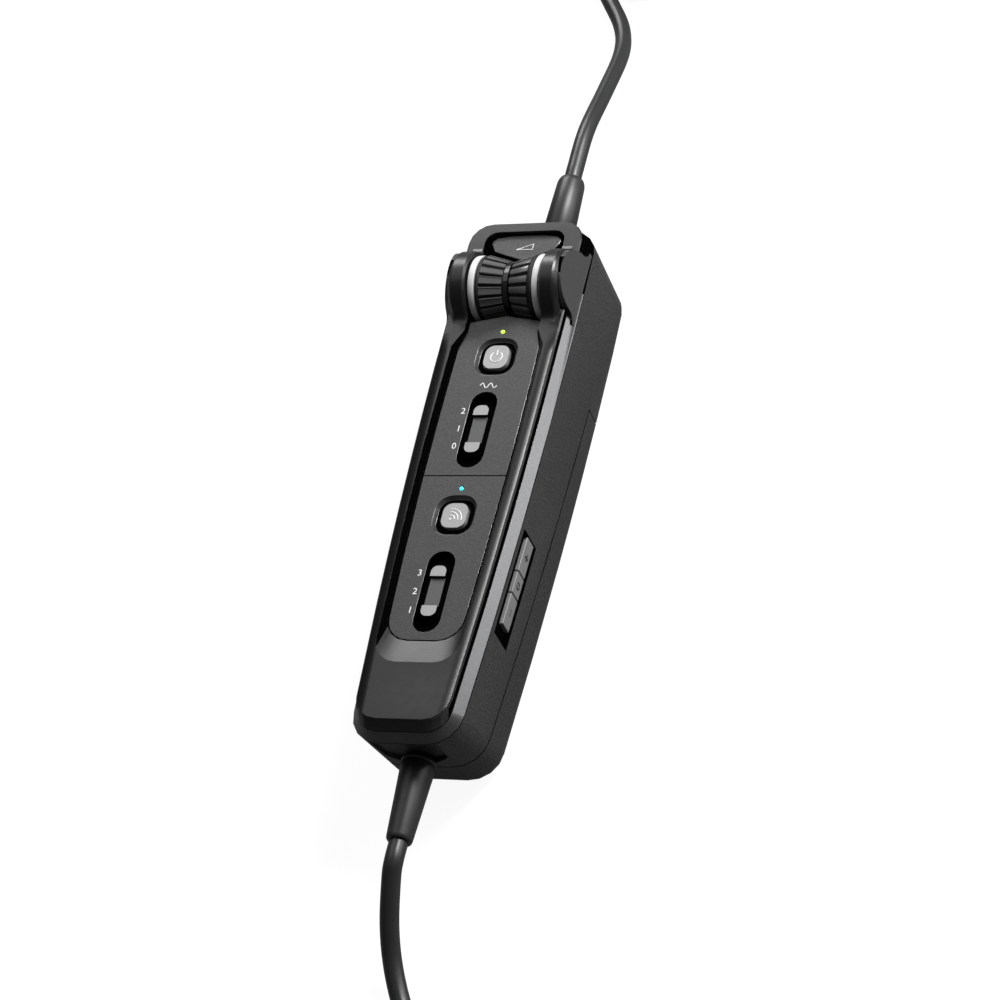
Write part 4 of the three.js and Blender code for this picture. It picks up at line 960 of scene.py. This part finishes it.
def slider_piece(name, node, body, y):
    """A foot in the slot, a grey middle and two pale ends that the thumb pushes; the foot and every side
    face are in painted shade.
    """
    bm = bmesh.new()
    stem_low, tab_high = heights(node)
    foot_low, foot_high = stem_low + STEM_HEIGHT, FOOT_TOP_Z
    foot_size = (*FOOT_SIZE, foot_high - foot_low)
    rounded_block(bm, (0, y, (foot_low + foot_high) / 2), foot_size, FOOT_CORNER, 0.25)
    stem_size = (*STEM_SIZE, foot_low - stem_low + 0.4)
    rounded_block(bm, (0, y, (stem_low + foot_low) / 2), stem_size, 0.3, 0.1, 2)
    rounded_block(bm, (0, y, foot_high + 0.02), MIDDLE_SIZE, 0.15, 0.1, 2, 1)
    for way in (1, -1):
        centre = (0, y + way * TAB_PLACE, (foot_high + tab_high) / 2 - 0.1)
        rounded_block(bm, centre, (*TAB_SIZE, tab_high - foot_high + 0.2), TAB_CORNER, 0.25, 4, 2, way)
    bm.normal_update()
    # Faces that don't look up, and the whole foot, take the near-black painted shade of the slot.
    for face in bm.faces:
        if face.normal.z < 0.35:
            face.material_index = 0
    grey = finish("slider middle", (0.075, 0.076, 0.078), 0.35, grain=3000, depth=0.02, tone=0.2)
    pale = finish("pale slider end", colours().tab, 0.30, metallic=0.3, grain=3000, depth=0.01, tone=0.1)
    add_mesh(name, bm, body, [shadow_finish(), grey, pale], (node,))


class MODULE_OT_sliders(bpy.types.Operator):
    """Make the two slide switches' sliders"""

    bl_idname = "module.sliders"
    bl_label = "Sliders"

    def execute(self, context):
        slider_piece("upper_slider_piece", "upper_slider", "upper_slide", UPPER_SLOT_Y)
        slider_piece("lower_slider_piece", "lower_slider", "lower_slide", LOWER_SLOT_Y)
        return {"FINISHED"}


class MODULE_OT_lights(bpy.types.Operator):
    """Make the two light pipes"""

    bl_idname = "module.lights"
    bl_label = "Lights"

    def execute(self, context):
        for node, y, colour in (
            ("power_light", POWER_LIGHT_Y, (0.45, 0.85, 0.05)),
            ("wireless_light", WIRELESS_LIGHT_Y, (0.03, 0.62, 0.72)),
        ):
            bm = bmesh.new()
            base = heights(node)[0]
            pipe = [
                (0, base), (1.5, base), (1.5, base + 1.8), (0.55, base + 2.6), (0.55, PLATE_TOP_Z - 0.05),
                (0.45, PLATE_TOP_Z + 0.08), (0.25, PLATE_TOP_Z + 0.17), (0, PLATE_TOP_Z + 0.2),
            ]
            spun(bm, pipe, (0, y, 0), (0, 0, 1), steps=24)
            glow = lamp_finish(f"{node} glow", colour, LIGHT_STRENGTH)
            add_mesh(f"{node}_pipe", bm, "body", [glow], (node,))
        return {"FINISHED"}


def key_face(node, sink):
    """X and Y of the middle of a key's outer face, sunk a little, in millimetres."""
    low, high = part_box(node)
    return high.x * 1000 - sink, (low.y + high.y) * 500


class MODULE_OT_keys(bpy.types.Operator):
    """Dress the three side keys and give them their marks"""

    bl_idname = "module.keys"
    bl_label = "Side keys"

    def execute(self, context):
        look = finish("grey key rubber", colours().key, 0.45, grain=2600, depth=0.03, tone=0.25)
        for key in ("plus", "link", "minus"):
            dressed(f"{key}_key", f"{key}_key_cap", f"{key}_press", [look], mm(0.25))
        dark = finish("key mark", (0.012, 0.012, 0.012), 0.5, depth=0.01, tone=0.1)
        z, reach = KEY_MARK_Z, KEY_MARK_REACH
        x, y = key_face("plus_key", 0.09)
        plus = [[(x, y - reach, z), (x + 0.05, y + reach, z)], [(x, y, z - reach), (x, y, z + reach)]]
        marks("plus_sign", plus, 0.3, "plus_press", dark)
        x, y = key_face("link_key", 0.11)
        circle = [(x, px, py) for px, py, _ in ring_points((y, z, 0), 0.8, 0, 360, 20)]
        marks("link_sign", [circle], 0.28, "link_press", dark)
        x, y = key_face("minus_key", 0.17)
        minus = [(x - 0.03, y - reach, z), (x + 0.03, y + reach, z)]
        marks("minus_sign", [minus], 0.3, "minus_press", dark)
        return {"FINISHED"}


# --------------------------------------
# Printing on the plates
# --------------------------------------

NUMBER_RIGHT_X = -4.3
UPPER_NUMBER_YS = (16.8, 11.5, 6.3)
LOWER_NUMBER_YS = (-30.5, -35.7, -40.95)
WAVE_Y = 24.5
WAVE_HEIGHT = 0.75
SIGN_HALF_WIDTH = 2.2
WEDGE_YS = (67.2, 68.9)
SIGN_LINE = 0.26


class MODULE_OT_printing(bpy.types.Operator):
    """Print plain numbers by the slots and simple signs on the plates"""

    bl_idname = "module.printing"
    bl_label = "Printing"

    def execute(self, context):
        z = PLATE_TOP_Z + 0.01
        for prefix, texts, centres in (
            ("upper", ("2", "1", "0"), UPPER_NUMBER_YS),
            ("lower", ("3", "2", "1"), LOWER_NUMBER_YS),
        ):
            for number, (text, y) in enumerate(zip(texts, centres)):
                printed(f"{prefix}_number_{number}", text, NUMBER_RIGHT_X, y, z)
        half = SIGN_HALF_WIDTH
        wave = [
            (-half + 2 * half * k / 24, WAVE_Y + WAVE_HEIGHT * math.sin(2 * math.pi * k / 12), z)
            for k in range(25)
        ]
        marks("wave_sign", [wave], SIGN_LINE, "body", print_finish())
        base, top = WEDGE_YS
        wedge = [(-half, base, z), (half, base, z), (half, top, z), (-half, base, z)]
        marks("volume_sign", [wedge], SIGN_LINE, "body", print_finish())
        return {"FINISHED"}


# --------------------------------------
# Strain reliefs and cord ends
# --------------------------------------

# Radius and Y of each strain relief's outline, in millimetres.
LOWER_BOOT_PROFILE = (
    (0, -94.4), (2.6, -94.4), (2.9, -94.3), (3.1, -94.0), (3.2, -93.4), (3.95, -79.4),
    (4.22, -74.9), (4.2, -74.65), (4.05, -74.5), (4.05, -74.1), (4.22, -73.95), (4.3, -73.8),
    (4.26, -73.55), (3.2, -73.4), (3.2, -70.2), (4.2, -70.0), (4.2, -67.5), (0, -67.5),
)
UPPER_BOOT_PROFILE = (
    (0, 68.8), (5.0, 68.8), (5.0, 72.0), (3.6, 72.2), (3.6, 75.2), (4.4, 75.3), (4.5, 75.45),
    (4.5, 77.9), (4.2, 78.2), (4.2, 78.9), (4.42, 79.1), (4.42, 80.9), (4.1, 81.2), (4.1, 81.9),
    (4.36, 82.15), (3.75, 101.6), (3.55, 102.6), (3.3, 103.2), (2.7, 103.6), (0, 103.6),
)


class MODULE_OT_boots(bpy.types.Operator):
    """Make the tapered strain reliefs where the cords leave the box"""

    bl_idname = "module.boots"
    bl_label = "Strain reliefs"

    def execute(self, context):
        for name, profile, z in (
            ("lower", LOWER_BOOT_PROFILE, LOWER_EXIT_Z),
            ("upper", UPPER_BOOT_PROFILE, UPPER_EXIT_Z),
        ):
            bm = bmesh.new()
            spun(bm, profile, (0, 0, z), (0, 1, 0), steps=64)
            looks = [rubber_finish()]
            add_mesh(f"{name}_strain_relief", bm, "body", looks, (f"{name}_boot",), smooth_angle=50)
        return {"FINISHED"}


class MODULE_OT_cord_ends(bpy.types.Operator):
    """Dress the plugs at the cords' ends and the ties round the hanks"""

    bl_idname = "module.cord_ends"
    bl_label = "Plugs and ties"

    def execute(self, context):
        gold, black = (0.68, 0.52, 0.26), (0.020, 0.020, 0.021)
        brass = finish("brass contact", gold, 0.16, metallic=1.0, grain=1500, depth=0.005, tone=0.1)
        tie_look = finish("woven black tie", black, 0.85, grain=900, depth=0.15, tone=0.6)
        for node, name, look in (
            ("aircraft_plug_body", "aircraft_plug_handle", rubber_finish()),
            ("aircraft_plug_shank", "aircraft_plug_contacts", brass),
            ("earcup_plug_body", "earcup_plug_handle", rubber_finish()),
            ("earcup_plug_sleeve", "earcup_plug_collar", steel_finish()),
            ("lower_tie", "lower_tie_strap", tie_look),
            ("upper_tie", "upper_tie_strap", tie_look),
        ):
            dressed(node, name, "body", [look], mm(0.2))
        return {"FINISHED"}


# --------------------------------------
# CAD nodes that stay, with their finishes
# --------------------------------------


class MODULE_OT_insides(bpy.types.Operator):
    """Give the inner pieces and the divider between the wheels their finishes"""

    bl_idname = "module.insides"
    bl_label = "Insides"

    def execute(self, context):
        board = finish("green circuit board", (0.02, 0.13, 0.05), 0.42, grain=900, depth=0.03, tone=0.5)
        grey = (0.16, 0.17, 0.18)
        sleeve = finish("grey cell sleeve", grey, 0.30, metallic=0.3, grain=900, depth=0.01, tone=0.2)
        red = finish("red switch block", (0.22, 0.02, 0.015), 0.35, grain=1500, depth=0.02, tone=0.2)
        looks = {
            "main_board": board,
            "key_board": board,
            "right_cell": sleeve,
            "left_cell": sleeve,
            "setup_switch_block": red,
            "wheel_divider": dark_plastic(),
        }
        for name, node in NODES.items():
            if node.hide_render:
                continue
            node.data.materials.clear()
            node.data.materials.append(looks.get(name, steel_finish()))
        return {"FINISHED"}


# --------------------------------------
# Stage
# --------------------------------------

# In metres. The floor lies a little under the part, so that the two never share a face.
FLOOR_SIZE = 4.0
FLOOR_Z = -0.0002
FLOOR_GREY = 0.12
FLOOR_SEEN = 0.93
FLOOR_MIRRORED = 0.10


def soft_light(name, place, target, width, height, power):
    data = bpy.data.lights.new(name, "AREA")
    data.shape = "RECTANGLE"
    data.size = width
    data.size_y = height
    data.energy = power
    holder = linked(name, data)
    holder.location = place
    holder.rotation_mode = "QUATERNION"
    holder.rotation_quaternion = (Vector(target) - Vector(place)).to_track_quat("-Z", "Y")


class MODULE_OT_stage(bpy.types.Operator):
    """Add the white floor, the soft lights and the pale surroundings"""

    bl_idname = "module.stage"
    bl_label = "Stage"

    def execute(self, context):
        light = context.scene.module_light
        bm = bmesh.new()
        bmesh.ops.create_grid(bm, x_segments=1, y_segments=1, size=FLOOR_SIZE)
        bmesh.ops.translate(bm, vec=(0, 0, FLOOR_Z), verts=bm.verts)
        data = bpy.data.meshes.new("floor")
        bm.to_mesh(data)
        bm.free()
        floor = linked("floor", data)
        paper = bpy.data.materials.new("white floor")
        nodes, links = open_nodes(paper)
        shader = nodes["Principled BSDF"]
        shader.inputs["Base Color"].default_value = (FLOOR_GREY, FLOOR_GREY, FLOOR_GREY, 1)
        shader.inputs["Roughness"].default_value = 0.9
        ray = nodes.new("ShaderNodeLightPath")
        shader.inputs["Emission Color"].default_value = (1, 1, 1, 1)
        seen = math_node(nodes, links, "MULTIPLY", ray.outputs["Is Camera Ray"], FLOOR_SEEN)
        glossy = ray.outputs["Is Glossy Ray"]
        mirrored = math_node(nodes, links, "MULTIPLY_ADD", glossy, FLOOR_MIRRORED, seen)
        links.new(mirrored, shader.inputs["Emission Strength"])
        data.materials.append(paper)

        world = bpy.data.worlds.new("surroundings")
        nodes, links = open_nodes(world)
        back = nodes["Background"]
        back.inputs["Color"].default_value = (1, 1, 1, 1)
        ray = nodes.new("ShaderNodeLightPath")
        strength = math_node(nodes, links, "MAXIMUM", ray.outputs["Is Camera Ray"], light.sky)
        links.new(strength, back.inputs["Strength"])
        context.scene.world = world

        middle = mm(0, 0, 20)
        soft_light("key light", (-0.50, 0.35, 0.95), middle, 0.6, 0.7, light.key)
        soft_light("edge light", (0.55, 0.62, 0.80), middle, 0.3, 0.5, light.edge)
        soft_light("right rim light", (0.95, 0.58, 0.34), middle, 0.5, 1.2, light.rim)
        soft_light("back light", (-0.45, 0.95, 0.62), middle, 0.5, 0.3, light.back)
        return {"FINISHED"}


# --------------------------------------
# Panel and registration
# --------------------------------------

STEPS = (
    MODULE_OT_camera,
    MODULE_OT_boots,
    MODULE_OT_cord_ends,
    MODULE_OT_cords,
    MODULE_OT_mouldings,
    MODULE_OT_wheels,
    MODULE_OT_buttons,
    MODULE_OT_sliders,
    MODULE_OT_lights,
    MODULE_OT_keys,
    MODULE_OT_printing,
    MODULE_OT_insides,
    MODULE_OT_stage,
)
GROUPS = (
    ("module_sizes", ModuleSizes),
    ("module_colours", ModuleColours),
    ("module_light", ModuleLight),
)


class MODULE_PT_panel(bpy.types.Panel):
    """Lists the settings and the steps that make the module"""

    bl_idname = "MODULE_PT_panel"
    bl_label = "Headset control module"
    bl_space_type = "VIEW_3D"
    bl_region_type = "UI"
    bl_category = "Module"

    def draw(self, context):
        for holder, group in GROUPS:
            box = self.layout.box()
            for name in group.__annotations__:
                box.prop(getattr(context.scene, holder), name)
        for step in STEPS:
            self.layout.operator(step.bl_idname)


def register():
    for holder, group in GROUPS:
        bpy.utils.register_class(group)
        setattr(bpy.types.Scene, holder, PointerProperty(type=group))
    for step in STEPS:
        bpy.utils.register_class(step)
    bpy.utils.register_class(MODULE_PT_panel)


def unregister():
    bpy.utils.unregister_class(MODULE_PT_panel)
    for step in reversed(STEPS):
        bpy.utils.unregister_class(step)
    for holder, group in reversed(GROUPS):
        delattr(bpy.types.Scene, holder)
        bpy.utils.unregister_class(group)


def main():
    register()
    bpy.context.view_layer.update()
    for step in STEPS:
        space, name = step.bl_idname.split(".")
        getattr(getattr(bpy.ops, space), name)()


if __name__ == "__main__":
    main()
